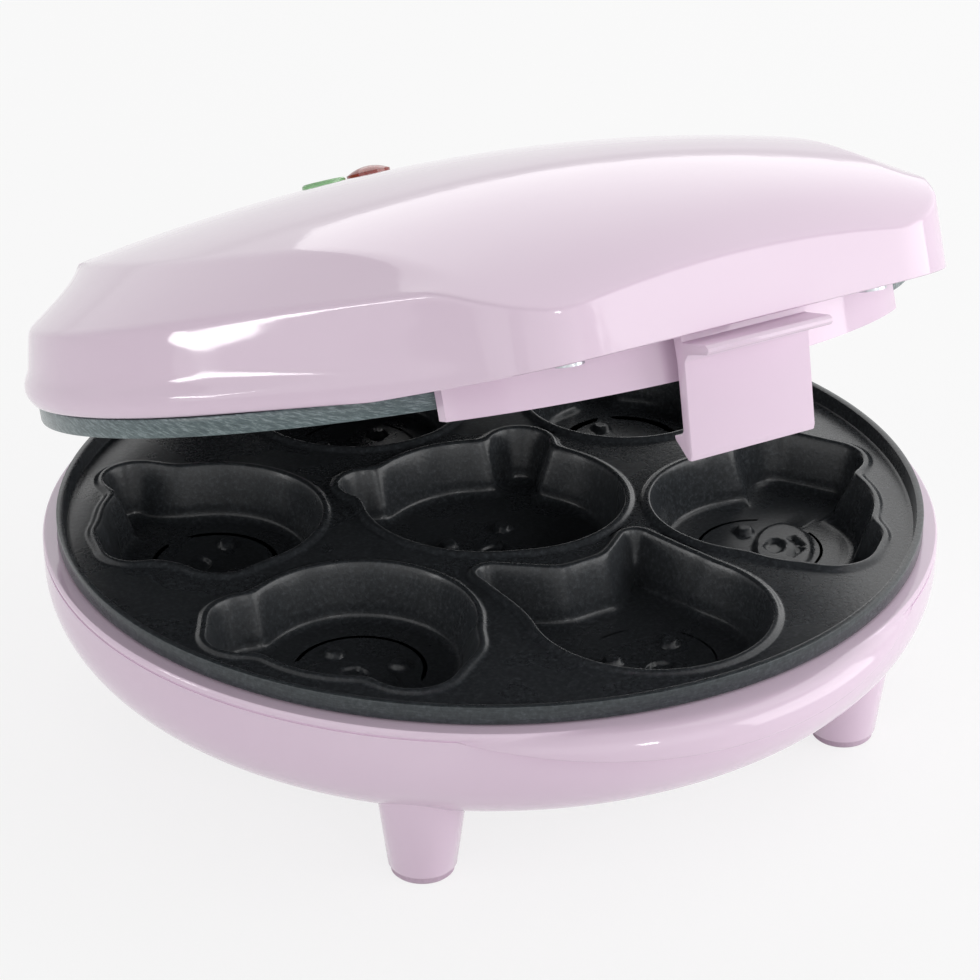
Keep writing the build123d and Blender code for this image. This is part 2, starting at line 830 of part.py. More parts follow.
def block_face(inset, height):
    # Plan of the lid's squared front, from tangent points on the round wall to the nose
    big = plate_radius - inset
    small = lid_corner_radius - inset
    apart = math.hypot(lid_corner_x, lid_corner_y)
    lean = math.degrees(math.atan2(lid_corner_y, lid_corner_x) + math.acos((big - small) / apart))
    tx, ty = polar(big, lean)
    cx, cy = polar(small, lean)
    nose = lid_corner_y - small
    mid_x, mid_y = polar(small, (lean - 90.0) / 2)
    right = (lid_corner_x + cx, lid_corner_y + cy)
    arc_right = ThreePointArc(right, (lid_corner_x + mid_x, lid_corner_y + mid_y), (lid_corner_x, nose))
    middle_left = (-lid_corner_x - mid_x, lid_corner_y + mid_y)
    arc_left = ThreePointArc((-lid_corner_x, nose), middle_left, (-right[0], right[1]))
    lines = [
        Line((tx, ty), right),
        arc_right,
        Line((lid_corner_x, nose), (-lid_corner_x, nose)),
        arc_left,
        Line((-right[0], right[1]), (-tx, ty)),
        Line((-tx, ty), (tx, ty)),
    ]
    return Pos(0, 0, height) * make_face(lines)


def lid_wall(inset, low):
    bottom = lid_foot_radius - inset
    bulge = lid_bulge_radius - inset
    above = lid_foot_radius - 0.1 - inset
    arc = ThreePointArc((bottom, lid_rim), (bulge, lid_rim + 2.1), (above, lid_rim + 5.9))
    points = [
        (above, lid_rim + 5.9),
        (plate_radius - 0.5 - inset, seam_height + 17),
        (plate_radius - 1.6 - inset, seam_height + 21),
        (plate_radius - 3.5 - inset, seam_height + 28),
        (plate_radius - 5.0 - inset, seam_height + 46),
        (0, seam_height + 46),
        (0, low),
        (bottom, low),
    ]
    if low < lid_rim:
        points.append((bottom, lid_rim))
    rest = Polyline(*points)
    round_part = revolve(Plane.XZ * make_face([arc, rest]), axis=Axis.Z)
    height = seam_height + 46 - low
    return round_part + extrude(block_face(inset, low), height, dir=(0, 0, 1))


def under_front():
    far = lid_front_y - 19.0
    far_z = lid_rim + (lid_edge_y - far) * lid_edge_slope
    wide = 1.5 * plate_radius
    return side_plate([(lid_edge_y, lid_rim), (far, far_z), (far, 0), (lid_edge_y, 0)], -wide, wide)


def lid_arm(x_low, x_high):
    web = [
        (hinge_y - 4.5, hinge_z + 0.5),
        (lid_foot_radius, lid_rim + 0.5),
        (lid_foot_radius - 4.0, lid_rim + 2.0),
        (lid_foot_radius - 4.0, lid_rim + 13.9),
        (lid_foot_radius + 2.0, lid_rim + 9.4),
        (hinge_y + 4.55, hinge_z + 0.4),
    ]
    knuckle = rod_x(knuckle_radius, x_low, x_high, hinge_y, hinge_z)
    return side_plate(web, x_low, x_high) + knuckle


def lens_place(x):
    height = crest_height(lens_y) - cross_bend * x * x
    return Pos(x, lens_y, height) * Rot(math.degrees(math.atan(crest_slope(lens_y))), 0, 0)


def holder_low():
    return crest_height(lens_y) - lens_stem_length - lamp_gap - 2 * lamp_radius - holder_thickness


def lid_housing():
    roof = roof_form(0)
    outer = (lid_wall(0, lid_rim) & roof) - under_front()
    hollow = lid_wall(shell_wall, lid_rim - 12) & roof_form(shell_wall)
    shell = outer + both_sides(lid_arm, lid_arm_inner, lid_arm_outer)
    shell -= hollow
    for side in (-1, 1):
        at = (side * frame_screw_x, frame_screw_y)
        shell += disc(frame_boss_radius, floor_low + floor_thickness, seam_height + 22, at) & roof
        low = holder_low() + holder_thickness
        shell += disc(2.8, low, low + 6.0, (side * holder_screw_x, lens_y)) & roof
    for angle in (20.0, 160.0, 200.0, 340.0, 75.0, 105.0):
        rib = block(plate_step_radius, plate_radius - 1.2, -1, 1, frame_ring_top + 0.2, seam_height + 22)
        shell += Rot(0, 0, angle) * rib & roof & lid_wall(1.0, lid_rim - 8)
    for side in (-1, 1):
        at = (side * frame_screw_x, frame_screw_y)
        shell -= disc(screw_shaft_radius + thread_clearance, floor_low - 11, floor_low + 11.0, at)
        at = (side * holder_screw_x, lens_y)
        shell -= disc(small_screw_radius + thread_clearance, holder_low() - 9, holder_low() + 4.6, at)
        place = lens_place(side * lens_x)
        shell -= place * disc(lens_radius + 0.15, -lens_seat, 5)
        shell -= place * disc(lens_stem_radius + lens_clearance, -6, 5)
    shell -= rod_x(hinge_pin_radius + hinge_clearance, -60, 60, hinge_y, hinge_z)
    return shell


def front_floor():
    face = block_face(shell_wall + frame_fit, floor_low)
    floor = extrude(face, floor_thickness, dir=(0, 0, 1))
    return floor - disc(ledge_radius + frame_wall / 2, 0, 2 * seam_height)


def lid_frame():
    outer = ledge_radius + frame_wall
    above = 2 * seam_height
    frame = disc(outer, lid_rim, frame_ring_top) - disc(ledge_radius, 0, above)
    frame += front_floor()
    skirt = disc(lip_plan_radius, skirt_bottom, floor_low + 0.4, (0, lip_plan_y))
    skirt -= disc(lip_plan_radius - skirt_thickness, 0, above, (0, lip_plan_y))
    skirt_back = lip_plan_y - lip_plan_radius / 2
    frame += skirt & block(-skirt_half_width, skirt_half_width, lid_front_y - 4, skirt_back, 0, above)
    for angle in post_angles:
        seat = 2 * seam_height - post_top
        tab = block(post_ring_radius - 4.5, ledge_radius + 0.8, -4.5, 4.5, seat, seat + 2.2)
        tab -= disc(screw_shaft_radius + screw_clearance, 0, above, (post_ring_radius, 0))
        frame += Rot(0, 0, angle) * tab
    low = latch_half_width + latch_slot_clearance
    frame -= block(-low, low, lid_front_y - 4, latch_pivot_y + 2.9, floor_low - 0.1, above)
    lug = [
        (latch_pivot_y - 2.1, floor_low),
        (latch_pivot_y - 2.1, latch_pivot_z + 2.5),
        (latch_pivot_y + 2.2, latch_pivot_z + 2.5),
        (latch_pivot_y + 3.2, floor_low),
    ]
    for x_low, x_high in ((low, low + 2.5), (-low - 2.5, -low)):
        frame += side_plate(lug, x_low, x_high)
    frame -= rod_x(latch_pin_radius + latch_pin_clearance, -30, 30, latch_pivot_y, latch_pivot_z)
    for side in (-1, 1):
        frame -= disc(screw_shaft_radius + screw_clearance, 0, above, (side * frame_screw_x, frame_screw_y))
    return frame


def lid_frame_screws():
    return [screw(10.0, (side * frame_screw_x, frame_screw_y), floor_low) for side in (-1, 1)]


def latch_pin():
    reach = latch_half_width + latch_slot_clearance + 2.5
    return rod_x(latch_pin_radius, -reach, reach, latch_pivot_y, latch_pivot_z)


def latch():
    # Outline from the pivot: out over the thumb ledge, down the tongue and round the hook
    steps = [
        (-2.0, 0.0),
        (-2.0, -3.9),
        (-9.6, -4.2),
        (-10.4, -4.8),
        (-10.4, -5.4),
        (-9.6, -6.0),
        (-3.4, -6.2),
        (-1.9, -7.5),
        (0.7, -24.9),
        (1.3, -25.9),
        (2.2, -25.8),
        (5.6, -22.0),
        (5.6, -21.2),
        (3.2, -21.0),
        (2.4, -20.3),
        (0.7, -7.5),
        (0.7, -3.0),
        (1.8, 0.0),
    ]
    outline = [(latch_pivot_y + y, latch_pivot_z + z) for y, z in steps]
    body = side_plate(outline, -latch_half_width, latch_half_width)
    body += rod_x(latch_barrel_radius, -latch_half_width, latch_half_width, latch_pivot_y, latch_pivot_z)
    return body - rod_x(latch_pin_radius + latch_pin_clearance, -30, 30, latch_pivot_y, latch_pivot_z)


def upper_shield():
    notch = block(-24, 24, 36, 80, 0, 60)
    return mirrored(heat_shield(lid_shield_radius) - notch)


def thermostat():
    at = head_centre(figures[0])
    low = 2 * seam_height - cup_bottom
    high = 2 * seam_height - shield_top
    body = disc(8.0, low, high - 1.0, at) + disc(6.0, high - 1.2, high, at)
    for side in (-1, 1):
        x = at[0] + side * 9.5
        body += block(x - 2, x + 2, at[1] - 2, at[1] + 2, high - 4.6, high - 3.8)
    return body


def lamp_holder():
    top = holder_low() + holder_thickness
    half = holder_screw_x + 3.0
    sheet = block(-half, half, lens_y - 6, lens_y + 6, holder_low(), top)
    for side in (-1, 1):
        hole_radius = small_screw_radius + small_screw_clearance
        sheet -= disc(hole_radius, top - 9, top + 9, (side * holder_screw_x, lens_y))
        for edge in (-1, 1):
            x = side * lens_x + edge * (lamp_radius + 0.6)
            sheet += block(x - 0.5, x + 0.5, lens_y - 4, lens_y + 4, top - 0.2, top + 2.0)
    return sheet


def lamp_holder_screws():
    screws = []
    low = holder_low()
    for side in (-1, 1):
        at = (side * holder_screw_x, lens_y)
        head = disc(small_head_radius, low - small_head_height, low, at)
        screws.append(head + disc(small_screw_radius, low - 0.2, low + 3.9, at))
    return screws


def neon_lamps():
    low = lens_y - lamp_length / 2
    high = lens_y + lamp_length / 2
    height = holder_low() + holder_thickness + lamp_radius
    return [rod_y(lamp_radius, low, high, side * lens_x, height) for side in (-1, 1)]


def lens(x, dome):
    place = lens_place(x)
    head = disc(lens_radius, -lens_seat, 0.9)
    if dome:
        ball_radius = 9.0
        ball = Pos(0, 0, 2.2 - ball_radius) * Sphere(ball_radius)
        head += disc(lens_radius, -lens_seat, 4) & ball
    else:
        head = chamfer(head.edges().group_by(Axis.Z)[-1], 0.35)
    return place * (head + disc(lens_stem_radius, -lens_stem_length, 0))


def lid_wiring():
    x, y = polar(element_ring_radius, 90 - element_gap_angle)
    end_y = element_end_y + element_pin_length
    z = 2 * seam_height - element_height
    at_x, at_y = head_centre(figures[0])
    tab_z = 2 * seam_height - shield_top - 4.2
    wires = []
    for side in (-1, 1):
        tab_x = at_x + side * 11.5
        way = [
            (tab_x, at_y, tab_z),
            (side * 16, at_y + 8, seam_height + 21),
            (side * 3.0, 44, seam_height + 21),
            (side * 3.6, 62, seam_height + 21),
            (side * 6.6, end_y + 3.0, z + 0.6),
            (side * x, end_y, z),
        ]
        wires.append(tube(way, wire_radius, (side, 0, 0), (0, -1, 0)))
    return wires


plate = lower_plate()
write("base_housing", [base_housing()])
write("foot_pads", foot_pads())
write("lower_plate", [plate])
write("lower_plate_screws", plate_screws())
write("lower_element", [element()])
write("lower_element_clamps", element_clamps())
write("lower_heat_shield", [heat_shield(shield_radius)])
write("lower_shield_screws", shield_screws())
write("thermal_fuse", thermal_fuse())
write("terminal_block", [terminal_block()])
write("cord_gland", [cord_gland()])
write("cord_clamp", [cord_clamp()])
write("cord_clamp_screws", cord_clamp_screws())
write("base_wiring", base_wiring())
write("hinge_pins", hinge_pins())

write("lid_housing", [lid_housing()], on_lid=True)
write("lid_frame", [lid_frame()], on_lid=True)
write("lid_frame_screws", lid_frame_screws(), on_lid=True)
write("upper_plate", [mirrored(plate)], on_lid=True)
write("upper_plate_screws", [mirrored(item) for item in plate_screws()], on_lid=True)
write("upper_element", [mirrored(element())], on_lid=True)
write("upper_element_clamps", [mirrored(item) for item in element_clamps()], on_lid=True)
write("upper_heat_shield", [upper_shield()], on_lid=True)
write("upper_shield_screws", [mirrored(item) for item in shield_screws()], on_lid=True)
write("thermostat", [thermostat()], on_lid=True)
write("lamp_holder", [lamp_holder()], on_lid=True)
write("lamp_holder_screws", lamp_holder_screws(), on_lid=True)
write("neon_lamps", neon_lamps(), on_lid=True)
write("red_lens", [lens(lens_x, True)], on_lid=True)
write("green_lens", [lens(-lens_x, False)], on_lid=True)
write("lid_wiring", lid_wiring(), on_lid=True)
write("latch_pin", [latch_pin()], on_lid=True)
write("latch", [latch()], on_lid=True)
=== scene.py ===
# %% [markdown]
# # Mini cake maker
# A countertop cooker with seven small moulds in each of its two plates.
# A round bowl carries the lower plate, and a domed lid with the upper plate is hinged at the back.
# The engineered model of every piece is loaded first. It is the fixed frame of this lesson:
# nothing in it is moved, and each piece made below is laid over the solid that it dresses.

# %% Load the engineered model
import bpy
import bmesh
import math
import numpy as np
from mathutils.geometry import delaunay_2d_cdt
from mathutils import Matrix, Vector


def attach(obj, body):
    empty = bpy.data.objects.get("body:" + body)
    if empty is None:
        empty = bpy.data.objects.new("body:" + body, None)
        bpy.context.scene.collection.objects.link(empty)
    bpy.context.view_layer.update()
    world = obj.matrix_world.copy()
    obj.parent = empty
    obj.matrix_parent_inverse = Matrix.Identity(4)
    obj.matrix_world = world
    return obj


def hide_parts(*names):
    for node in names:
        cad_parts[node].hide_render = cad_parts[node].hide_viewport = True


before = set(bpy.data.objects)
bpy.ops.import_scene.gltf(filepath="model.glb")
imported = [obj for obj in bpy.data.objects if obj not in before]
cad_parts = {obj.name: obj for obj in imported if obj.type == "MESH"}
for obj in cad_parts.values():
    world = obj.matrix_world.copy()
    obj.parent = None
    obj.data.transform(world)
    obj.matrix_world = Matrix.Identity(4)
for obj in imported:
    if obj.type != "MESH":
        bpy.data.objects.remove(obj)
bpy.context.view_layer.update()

# %% [markdown]
# ## Sizes
# All shapes are worked out in millimetres, with the lid shut, just as the parts are drawn.
# One function turns lid points about the hinge, and METRES makes metres of them where a mesh is made.
# The sizes repeat those of the engineered model, so a dressed piece lies exactly on its solid.
# Shapes are drawn about the common axis of the plates, and each finished mesh then moves forward a little,
# because the origin of the model is under the middle of the whole footprint.

# %% Sizes shared by the pieces
METRES = 0.001
HINGE_Y, HINGE_Z, REST_ANGLE = 98.2, 41.6, math.radians(19.16)
SEAM = 44.0
PLATE_RADIUS, PLATE_FLOOR, PLATE_UNDER = 90.0, 40.7, 37.7
BASE_RIM, LID_RIM = 39.9, 48.1
LEDGE_RADIUS = 86.8
SHELL_WALL = 2.2
FOOTPRINT_MIDDLE = 2.75


def open_lid(points, angle=REST_ANGLE):
    """Turns points drawn with the lid shut about the hinge. The opposite angle shuts them again."""
    turned = np.array(points, float)
    y, z = turned[..., 1] - HINGE_Y, turned[..., 2] - HINGE_Z
    cosine, sine = math.cos(angle), math.sin(angle)
    turned[..., 1] = HINGE_Y + y * cosine + z * sine
    turned[..., 2] = HINGE_Z - y * sine + z * cosine
    return turned


print("resting angle of the lid:", round(math.degrees(REST_ANGLE), 2), "degrees")

# %% [markdown]
# ## Making a piece from points and faces
# Most pieces here follow a rule, so their points come from arithmetic and not from hand modelling.
# One helper merges doubled points, turns the faces outwards and makes the object. It is shaded smooth
# except where faces meet at a sharp angle. Another says what the piece moves with and stands for.

# %% Piece from points and faces
SAME_POINT = 0.004


def shade(mesh, sharp):
    """Shades a mesh smooth, but not over edges sharper than an angle in degrees."""
    mesh.polygons.foreach_set("use_smooth", [True] * len(mesh.polygons))
    mesh.set_sharp_from_angle(angle=math.radians(sharp))
    mesh.update()


def put_in_scene(name, data):
    thing = bpy.data.objects.new(name, data)
    bpy.context.collection.objects.link(thing)
    return thing


def finish_shape(name, shape, finish, sharp):
    """Cleans a shape, moves it to its place over the footprint and puts it in the scene."""
    bmesh.ops.remove_doubles(shape, verts=shape.verts, dist=SAME_POINT * METRES)
    bmesh.ops.recalc_face_normals(shape, faces=shape.faces)
    bmesh.ops.translate(shape, verts=shape.verts, vec=(0, -FOOTPRINT_MIDDLE * METRES, 0))
    mesh = bpy.data.meshes.new(name)
    shape.to_mesh(mesh)
    shape.free()
    mesh.materials.append(finish)
    shade(mesh, sharp)
    mesh.calc_loop_triangles()
    print(name, "triangles:", len(mesh.loop_triangles))
    return put_in_scene(name, mesh)


def place_on(piece, body, slot, *nodes):
    """The piece moves with a body and stands for the named nodes. The slot argument is not used."""
    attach(piece, body)
    if nodes:
        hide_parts(*nodes)


# %% [markdown]
# ## Node helpers for the finishes
# A finish is a small tree of nodes. One function adds a node, sets it and links it, whatever its kind.
# Colours are written as sRGB hex values, as read on a colour chart, and turned to linear light once.
# Patterns are scaled from a real size in millimetres. Noise seldom leaves the middle of its range, so
# a ramp spends its two tones there.

# %% Colour, scale and node helpers
RAMP_START, RAMP_END = 0.3, 0.7


def colour(text):
    """sRGB hex text to linear light."""
    parts = [int(text[i:i + 2], 16) / 255 for i in (1, 3, 5)]
    light = [p / 12.92 if p <= 0.04045 else ((p + 0.055) / 1.055) ** 2.4 for p in parts]
    return (*light, 1.0)


def grain(size_mm, detail=3.0, roughness=0.55):
    """Settings of a noise whose grains are about size_mm wide, on coordinates in metres."""
    return {"Scale": 1.0 / (size_mm * METRES), "Detail": detail, "Roughness": roughness}


def tones(low, high):
    """Settings of a ramp between two hex colours."""
    return {"ramp": [(RAMP_START, colour(low)), (RAMP_END, colour(high))]}


def greys(low, high):
    """Settings of a ramp between two plain levels, such as two degrees of roughness."""
    return {"ramp": [(RAMP_START, (low, low, low, 1.0)), (RAMP_END, (high, high, high, 1.0))]}


def connect(tree, node, sources):
    """Links to inputs of a node, by name or number: an output, or a node for its first output."""
    for name, source in sources.items():
        output = source.outputs[0] if isinstance(source, bpy.types.Node) else source
        tree.links.new(output, node.inputs[name])


def add_node(tree, kind, settings=None, sources=None):
    """Adds one node. Settings are attributes or input values, sources are linked to its inputs."""
    node = tree.nodes.new(kind)
    for name, value in (settings or {}).items():
        if name == "ramp":
            ends = node.color_ramp.elements
            ends[0].position, ends[0].color = value[0]
            ends[1].position, ends[1].color = value[-1]
            for position, tint in value[1:-1]:
                ends.new(position).color = tint
        elif isinstance(name, int) or name in node.inputs:
            node.inputs[name].default_value = value
        else:
            setattr(node, name, value)
    connect(tree, node, sources or {})
    return node


def new_finish(name, settings):
    """An empty finish: the material, its tree, its shader and the coordinates of the object."""
    material = bpy.data.materials.new(name)
    material.use_nodes = True
    tree = material.node_tree
    shader = tree.nodes["Principled BSDF"]
    for key, value in settings.items():
        shader.inputs[key].default_value = value
    place = add_node(tree, "ShaderNodeTexCoord").outputs["Object"]
    return material, tree, shader, place


print("node helpers ready")

# %% [markdown]
# ## Gloss plastic of the shells
# The housings, the lid frame and the latch are injection moulded from ABS in a pale pink lilac.
# A polished mould leaves a high gloss with a very faint orange peel, which bends the edges of reflections.
# Handling leaves slightly duller patches. So the finish is a plain dielectric with a low roughness that
# wanders a little, a colour that hardly varies, and a bump too shallow to see except in highlights.

# %% Moulded gloss ABS
def gloss_abs():
    finish, tree, shader, place = new_finish("gloss_moulded_abs", {"IOR": 1.53})
    flow = add_node(tree, "ShaderNodeTexNoise", grain(45.0, 2.0), {"Vector": place})
    tint = add_node(tree, "ShaderNodeValToRGB", tones("#E6CFE2", "#E9D3E5"), {"Fac": flow})
    handled = add_node(tree, "ShaderNodeTexNoise", grain(18.0, 4.0), {"Vector": place})
    haze = add_node(tree, "ShaderNodeValToRGB", greys(0.05, 0.09), {"Fac": handled})
    peel = add_node(tree, "ShaderNodeTexNoise", grain(3.0, 1.0), {"Vector": place})
    bump = add_node(tree, "ShaderNodeBump", {"Distance": 0.012 * METRES}, {"Height": peel})
    connect(tree, shader, {"Base Color": tint, "Roughness": haze, "Normal": bump})
    return finish


shell_plastic = gloss_abs()
print("finish:", shell_plastic.name)

# %% [markdown]
# ## Non-stick coat of the plates
# The plates are die cast aluminium, blasted and sprayed with a black PTFE coat that is baked on.
# The coat is satin, with a fine sprayed speckle and tiny pits. The machined outer wall is rubbed by the
# other plate each time the lid shuts, so it is greyer there, with short slanting scratches.

# %% Sprayed PTFE on cast aluminium
def ptfe_coat():
    finish, tree, shader, place = new_finish("sprayed_ptfe_coat", {"IOR": 1.4})
    speckle = add_node(tree, "ShaderNodeTexNoise", grain(0.9, 2.0, 0.7), {"Vector": place})
    coat = {"ramp": [(0.36, colour("#2A2C2F")), (0.55, colour("#34373A")), (0.72, colour("#44474B"))]}
    coat = add_node(tree, "ShaderNodeValToRGB", coat, {"Fac": speckle})
    slant = {"Rotation": (0.9, 0.5, 0.8), "Scale": (1.0, 1.0, 7.0)}
    slant = add_node(tree, "ShaderNodeMapping", slant, {"Vector": place})
    scratch = add_node(tree, "ShaderNodeTexNoise", grain(2.6, 5.0, 0.8), {"Vector": slant})
    bare = {"ramp": [(0.35, colour("#4C585B")), (0.5, colour("#5F6E70")), (0.62, colour("#8B989A"))]}
    bare = add_node(tree, "ShaderNodeValToRGB", bare, {"Fac": scratch})
    worn = add_node(tree, "ShaderNodeAttribute", {"attribute_name": "worn"}).outputs["Fac"]
    # Inputs 0, 6 and 7 of a Mix node are its factor and its two colours, and output 2 is the colour
    mix = add_node(tree, "ShaderNodeMix", {"data_type": "RGBA"}, {0: worn, 6: coat, 7: bare})
    cloud = add_node(tree, "ShaderNodeTexNoise", grain(30.0), {"Vector": place})
    satin = add_node(tree, "ShaderNodeValToRGB", greys(0.22, 0.33), {"Fac": cloud})
    bump = add_node(tree, "ShaderNodeBump", {"Distance": 0.03 * METRES}, {"Height": speckle})
    connect(tree, shader, {"Base Color": mix.outputs[2], "Roughness": satin, "Normal": bump})
    return finish


coated_plate = ptfe_coat()
print("finish:", coated_plate.name)

# %% [markdown]
# ## Small finishes
# Rubber feet, zinc plated screws, the sheath of the heating element, the aluminised heat shields, the
# steatite terminal block, the cord gland and the inner plastics are mostly hidden, but each still gets
# the surface of the real thing: its usual refractive index and roughness, and a grain of the right size.
# They are gathered under the names of the finish slots that the loaded pieces take.

# %% Rubber, metals, ceramic and inner plastics
def grained_finish(name, settings, tints, rough, size_mm, depth_mm=0.0, detail=3.0):
    """A finish whose colour and roughness wander between two values over grains of one size."""
    finish, tree, shader, place = new_finish(name, settings)
    grains = add_node(tree, "ShaderNodeTexNoise", grain(size_mm, detail), {"Vector": place})
    tint = add_node(tree, "ShaderNodeValToRGB", tones(*tints), {"Fac": grains})
    rough = add_node(tree, "ShaderNodeValToRGB", greys(*rough), {"Fac": grains})
    connect(tree, shader, {"Base Color": tint, "Roughness": rough})
    if depth_mm > 0:
        bump = add_node(tree, "ShaderNodeBump", {"Distance": depth_mm * METRES}, {"Height": grains})
        connect(tree, shader, {"Normal": bump})
    return finish


METAL = {"Metallic": 1.0}
SMALL_FINISHES = (
    # Thermoplastic rubber, a shade darker than the shell: matt, from a spark eroded mould
    ("foot_rubber", "moulded_tpe_rubber", {"IOR": 1.5}, ("#BFA9BA", "#CAB5C6"), (0.6, 0.75), 0.5, 0.03),
    # Zinc plated steel: bright, slightly bluish, softly mottled by the plating
    ("fastener_steel", "zinc_plated_steel", METAL, ("#B4B8BC", "#C8CBCE"), (0.24, 0.36), 1.2, 0.004),
    # Annealed stainless sheath: brownish grey from its first heating
    ("element_sheath", "annealed_stainless_steel", METAL, ("#7E7468", "#9A9186"), (0.34, 0.5), 4.0, 0.008),
    # Aluminised sheet: spangled silver grey
    ("shield_aluminium", "aluminised_sheet_steel", METAL, ("#B9BABB", "#CDCECF"), (0.28, 0.44), 5.0, 0.01),
    # Steatite ceramic: cream, unglazed
    ("ceramic_body", "unglazed_steatite", {"IOR": 1.6}, ("#DCD6C6", "#E8E3D6"), (0.5, 0.62), 0.8, 0.015),
    # Soft PVC of the cord gland, in the colour of the shells
    ("gland_rubber", "moulded_soft_pvc", {"IOR": 1.52}, ("#DCC8DA", "#E3CFE0"), (0.42, 0.52), 0.9, 0.01),
    # Heat resistant polyester for the lamp holder and the thermostat
    ("inner_plastic", "moulded_pbt", {"IOR": 1.55}, ("#3A3836", "#474543"), (0.4, 0.5), 0.8, 0.01),
    # Silicone rubber sleeve of the inner wires
    ("wire_sleeve", "silicone_rubber_sleeve", {"IOR": 1.43}, ("#B9B4A8", "#C6C1B5"), (0.45, 0.55), 1.0, 0.01),
)
FINISHES = {slot: grained_finish(*about) for slot, *about in SMALL_FINISHES}
FINISHES.update(shell_plastic=shell_plastic, coated_plate=coated_plate)
print("finishes so far:", len(FINISHES))

# %% [markdown]
# ## Indicator lenses and their lamps
# The lenses are polycarbonate, tinted in the mass: light goes in, is coloured and comes out again.
# A transmissive dielectric of the right index does that. It transmits only a part of the light, and
# the rest scatters in the tint, which keeps the lenses from being black.

# %% Tinted polycarbonate and lamp glass
for slot, name, through, tints in (
        ("red_lens_plastic", "tinted_polycarbonate_red", 0.35, ("#9E2A22", "#B23A2E")),
        ("green_lens_plastic", "tinted_polycarbonate_green", 0.45, ("#8FD68B", "#A9E3A2")),
        ("lamp_glass", "soda_lime_lamp_glass", 0.9, ("#F2EEE9", "#FBF8F4"))):
    settings = {"IOR": 1.585, "Transmission Weight": through}
    FINISHES[slot] = grained_finish(name, settings, tints, (0.06, 0.12), 2.5, detail=2.0)
print("finishes with lenses and lamps:", len(FINISHES))

# %% [markdown]
# ## Finishes of the loaded pieces
# Each loaded piece names the finish slot that it takes. The slot names lead to the finishes made above.

# %% Put the finishes on the loaded pieces
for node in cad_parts.values():
    for place in node.material_slots:
        key = place.material.name.split(".")[0]
        if key in FINISHES:
            place.material = FINISHES[key]
print("dressed loaded pieces:", len(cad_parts))

# %% [markdown]
# ## Shapes gathered in one mesh
# A moulded housing is one piece with several forms on it: a shell, lugs, feet and sockets.
# Each form below adds its closed skin to a shared mesh. Grids of points make the shells, outlines
# pushed along the hinge axis make the lugs, and turned outlines make what is round.

# %% Grid, slab and turned form
SLAB_ROUND = 0.35


def add_grid(shape, rows, first_pole=False, last_pole=False):
    """Adds rows of points as a skin closed round its columns. A pole row becomes one point."""
    rings = []
    for number, row in enumerate(rows):
        pole = (first_pole and number == 0) or (last_pole and number == len(rows) - 1)
        places = row[:1] if pole else row
        rings.append([shape.verts.new(Vector(p) * METRES) for p in places])
    for upper, lower in zip(rings, rings[1:]):
        count = max(len(upper), len(lower))
        for i in range(count):
            j = (i + 1) % count
            corners = (upper[i % len(upper)], lower[i % len(lower)],
                       lower[j % len(lower)], upper[j % len(upper)])
            shape.faces.new(list(dict.fromkeys(corners)))


def add_slab(shape, outline, x_low, x_high, opened=False):
    """Adds a plate cut to (y, z) points between two x values, with softened edges."""
    slab = bmesh.new()
    ends = []
    for x in (x_low, x_high):
        points = np.array([(x, y, z) for y, z in outline])
        points = open_lid(points) if opened else points
        ends.append([slab.verts.new(Vector(p) * METRES) for p in points])
    slab.faces.new(ends[0])
    slab.faces.new(ends[1][::-1])
    count = len(outline)
    for i in range(count):
        j = (i + 1) % count
        slab.faces.new((ends[0][j], ends[0][i], ends[1][i], ends[1][j]))
    bmesh.ops.recalc_face_normals(slab, faces=slab.faces)
    corners = [edge for edge in slab.edges if edge.calc_face_angle(0.0) > math.radians(20)]
    bmesh.ops.bevel(slab, geom=corners, offset=SLAB_ROUND * METRES, segments=2, profile=0.6,
                    affect="EDGES", clamp_overlap=True)
    join_into(shape, slab)


def add_turned(shape, outline, place, axis, sides=64, opened=False):
    """Adds a form turned from (radius, height) points about an axis through a place."""
    turn = np.linspace(0, 2 * math.pi, sides, endpoint=False)
    rows = []
    for radius, height in outline:
        across, up = radius * np.cos(turn), radius * np.sin(turn)
        along = np.full(sides, float(height))
        order = {"X": (along, across, up), "Y": (up, along, across)}[axis]
        row = np.stack(order, 1) + np.array(place, float)
        rows.append(open_lid(row) if opened else row)
    part = bmesh.new()
    add_grid(part, rows, outline[0][0] == 0, outline[-1][0] == 0)
    bmesh.ops.recalc_face_normals(part, faces=part.faces)
    join_into(shape, part)


def join_into(shape, part):
    """Moves a finished part into the shared mesh."""
    made = bpy.data.meshes.new("part")
    part.to_mesh(made)
    part.free()
    shape.from_mesh(made)
    bpy.data.meshes.remove(made)


def soften(lines, strength, turns):
    """Rounds corners of lines of points: each point drifts towards the middle of its neighbours."""
    lines = np.array(lines, float)
    pull = np.asarray(strength)[1:-1]
    pull = pull.reshape(pull.shape + (1,) * (lines.ndim - pull.ndim))
    for _ in range(turns):
        lines[1:-1] += pull * (0.5 * (lines[:-2] + lines[2:]) - lines[1:-1])
    return lines


def barrel(radius, bore, low, high, soft=0.4):
    """Turned outline of a hinge barrel with a bore and softened ends."""
    return [(bore, low), (radius - soft, low), (radius, low + soft),
            (radius, high - soft), (radius - soft, high), (bore, high), (bore, low)]


print("shape helpers ready")

# %% [markdown]
# ## Lid housing
# The lid is one moulding: a crowned top panel, a shoulder that slopes from its edge, a wall with a bead
# along its foot, and a squared front. Each height has the same kind of plan: a round, two corner rounds
# and the straight lines that touch them. So the shell is made as lines that run from the middle of the
# crown over the shoulder and down the wall, then back inside one wall thickness in. The creases between
# crown, shoulder and wall are rounded on a real moulding, most of all round the wall's top edge and least
# at the rim and where the crown breaks. So the lines are let drift, each row by its own share.

